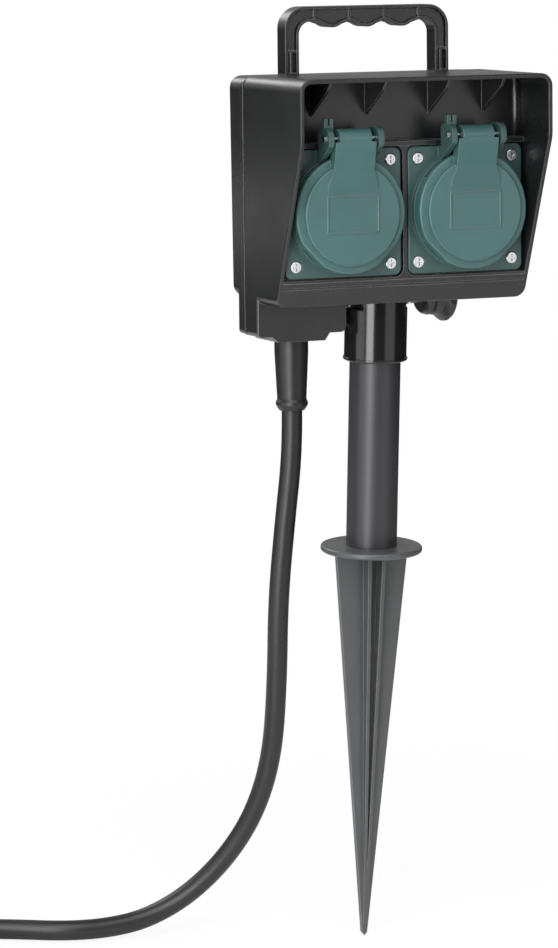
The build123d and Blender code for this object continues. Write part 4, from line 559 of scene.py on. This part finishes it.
def studio_camera():
    """Camera at the photograph's place: left of the front and a little above."""
    data = bpy.data.cameras.new("studio_camera")
    data.lens = CAMERA_LENS
    data.sensor_width = CAMERA_SENSOR
    data.clip_end = CAMERA_REACH
    camera = bpy.data.objects.new("studio_camera", data)
    turn = Matrix((CAMERA_RIGHT, CAMERA_UP, CAMERA_BACK)).transposed().to_4x4()
    camera.matrix_world = Matrix.Translation(CAMERA_PLACE) @ turn
    bpy.context.collection.objects.link(camera)
    bpy.context.scene.camera = camera


def faded(tree, value, low, high, at_low, at_high):
    """A smooth run from one value to another."""
    fade = add(tree, "ShaderNodeMapRange", {"Value": value}, interpolation_type="SMOOTHSTEP",
               **{"From Min": low, "From Max": high, "To Min": at_low, "To Max": at_high})
    return fade.outputs["Result"]


def white_for_the_camera(tree, shader, share):
    """Mix a shader with plain white for the rays that show the background itself."""
    path = add(tree, "ShaderNodeLightPath")
    shown = add(tree, "ShaderNodeMath", {0: path.outputs["Is Camera Ray"], 1: share}, operation="MULTIPLY")
    white = add(tree, "ShaderNodeEmission", Strength=1.0)
    white.inputs["Color"].default_value = (1, 1, 1, 1)
    mix = add(tree, "ShaderNodeMixShader", {0: shown.outputs[0], 1: shader, 2: white.outputs[0]})
    return mix.outputs[0]


class SPIKE_OT_stage(bpy.types.Operator):
    """Set the pale floor, the softboxes, the world and the camera"""

    bl_idname = "spike.stage"
    bl_label = "Studio"

    def execute(self, context):
        half = sizes().floor_size / 2
        mesh = bpy.data.meshes.new("studio_floor")
        mesh.from_pydata([(-half, -half, 0), (half, -half, 0), (half, half, 0), (-half, half, 0)], [],
                         [(0, 1, 2, 3)])
        floor = bpy.data.objects.new("studio_floor", mesh)
        floor.location.z = -FLOOR_DROP
        context.collection.objects.link(floor)
        # Matt painted board: a pale sheet under the part on a dark studio floor, shown as plain white
        # with the soft shadow on it
        paint, tree, place, shader = blank("matt_painted_board")
        far = add(tree, "ShaderNodeVectorMath", {0: place}, operation="LENGTH").outputs["Value"]
        edge = faded(tree, far, *SHEET_EDGE, 0.0, 1.0)
        sheet = add(tree, "ShaderNodeMix", {"Factor": edge}, data_type="RGBA")
        sheet.inputs["A"].default_value = (*colours().floor, 1)
        sheet.inputs["B"].default_value = (*linear(DARK_FLOOR), 1)
        tree.links.new(sheet.outputs["Result"], shader.inputs["Base Color"])
        shader.inputs["Roughness"].default_value = FLOOR_ROUGHNESS
        output = tree.nodes["Material Output"]
        share = faded(tree, far, *SHADOW_EDGE, SHADOW_VEIL, 1.0)
        tree.links.new(white_for_the_camera(tree, shader.outputs[0], share), output.inputs["Surface"])
        mesh.materials.append(paint)

        world = bpy.data.worlds.new("studio_world")
        context.scene.world = world
        world.use_nodes = True
        tree = world.node_tree
        tree.nodes.clear()
        path = add(tree, "ShaderNodeLightPath")
        toward = add(tree, "ShaderNodeTexCoord")
        apart = add(tree, "ShaderNodeSeparateXYZ", {"Vector": toward.outputs["Generated"]})
        # The room lights the part dimly from the front and a little more from behind, while the camera
        # sees it plain white
        level = faded(tree, apart.outputs["Y"], *ROOM_TURN, ROOM_FRONT, ROOM_BACK)
        dim = add(tree, "ShaderNodeBackground", {"Strength": level})
        dim.inputs["Color"].default_value = (1, 1, 1, 1)
        white = add(tree, "ShaderNodeBackground", Strength=1.0)
        white.inputs["Color"].default_value = (1, 1, 1, 1)
        mix = add(tree, "ShaderNodeMixShader",
                  {0: path.outputs["Is Camera Ray"], 1: dim.outputs[0], 2: white.outputs[0]})
        add(tree, "ShaderNodeOutputWorld", {"Surface": mix.outputs[0]})

        for light in LIGHTS:
            area_light(*light)
        studio_camera()
        context.scene.view_settings.view_transform = "Standard"
        return {"FINISHED"}


class SPIKE_PT_panel(bpy.types.Panel):
    """Lists the steps that dress the part"""

    bl_label = "Socket Spike"
    bl_idname = "SPIKE_PT_panel"
    bl_space_type = "VIEW_3D"
    bl_region_type = "UI"
    bl_category = "Socket Spike"

    def draw(self, context):
        for operator in STEPS:
            self.layout.operator(operator.bl_idname)
        for group in (context.scene.spike_colours, context.scene.spike_sizes):
            for name in group.__annotations__:
                self.layout.prop(group, name)


STEPS = (
    SPIKE_OT_cord,
    SPIKE_OT_housing,
    SPIKE_OT_sockets,
    SPIKE_OT_lids,
    SPIKE_OT_fasteners,
    SPIKE_OT_knob,
    SPIKE_OT_pole,
    SPIKE_OT_wiring,
    SPIKE_OT_stage,
)
CLASSES = (SpikeColours, SpikeSizes, *STEPS, SPIKE_PT_panel)


def register():
    for each in CLASSES:
        bpy.utils.register_class(each)
    bpy.types.Scene.spike_colours = bpy.props.PointerProperty(type=SpikeColours)
    bpy.types.Scene.spike_sizes = bpy.props.PointerProperty(type=SpikeSizes)


def unregister():
    del bpy.types.Scene.spike_sizes
    del bpy.types.Scene.spike_colours
    for each in reversed(CLASSES):
        bpy.utils.unregister_class(each)


def main():
    register()
    for step in STEPS:
        group, name = step.bl_idname.split(".")
        getattr(getattr(bpy.ops, group), name)()


if __name__ == "__main__":
    main()
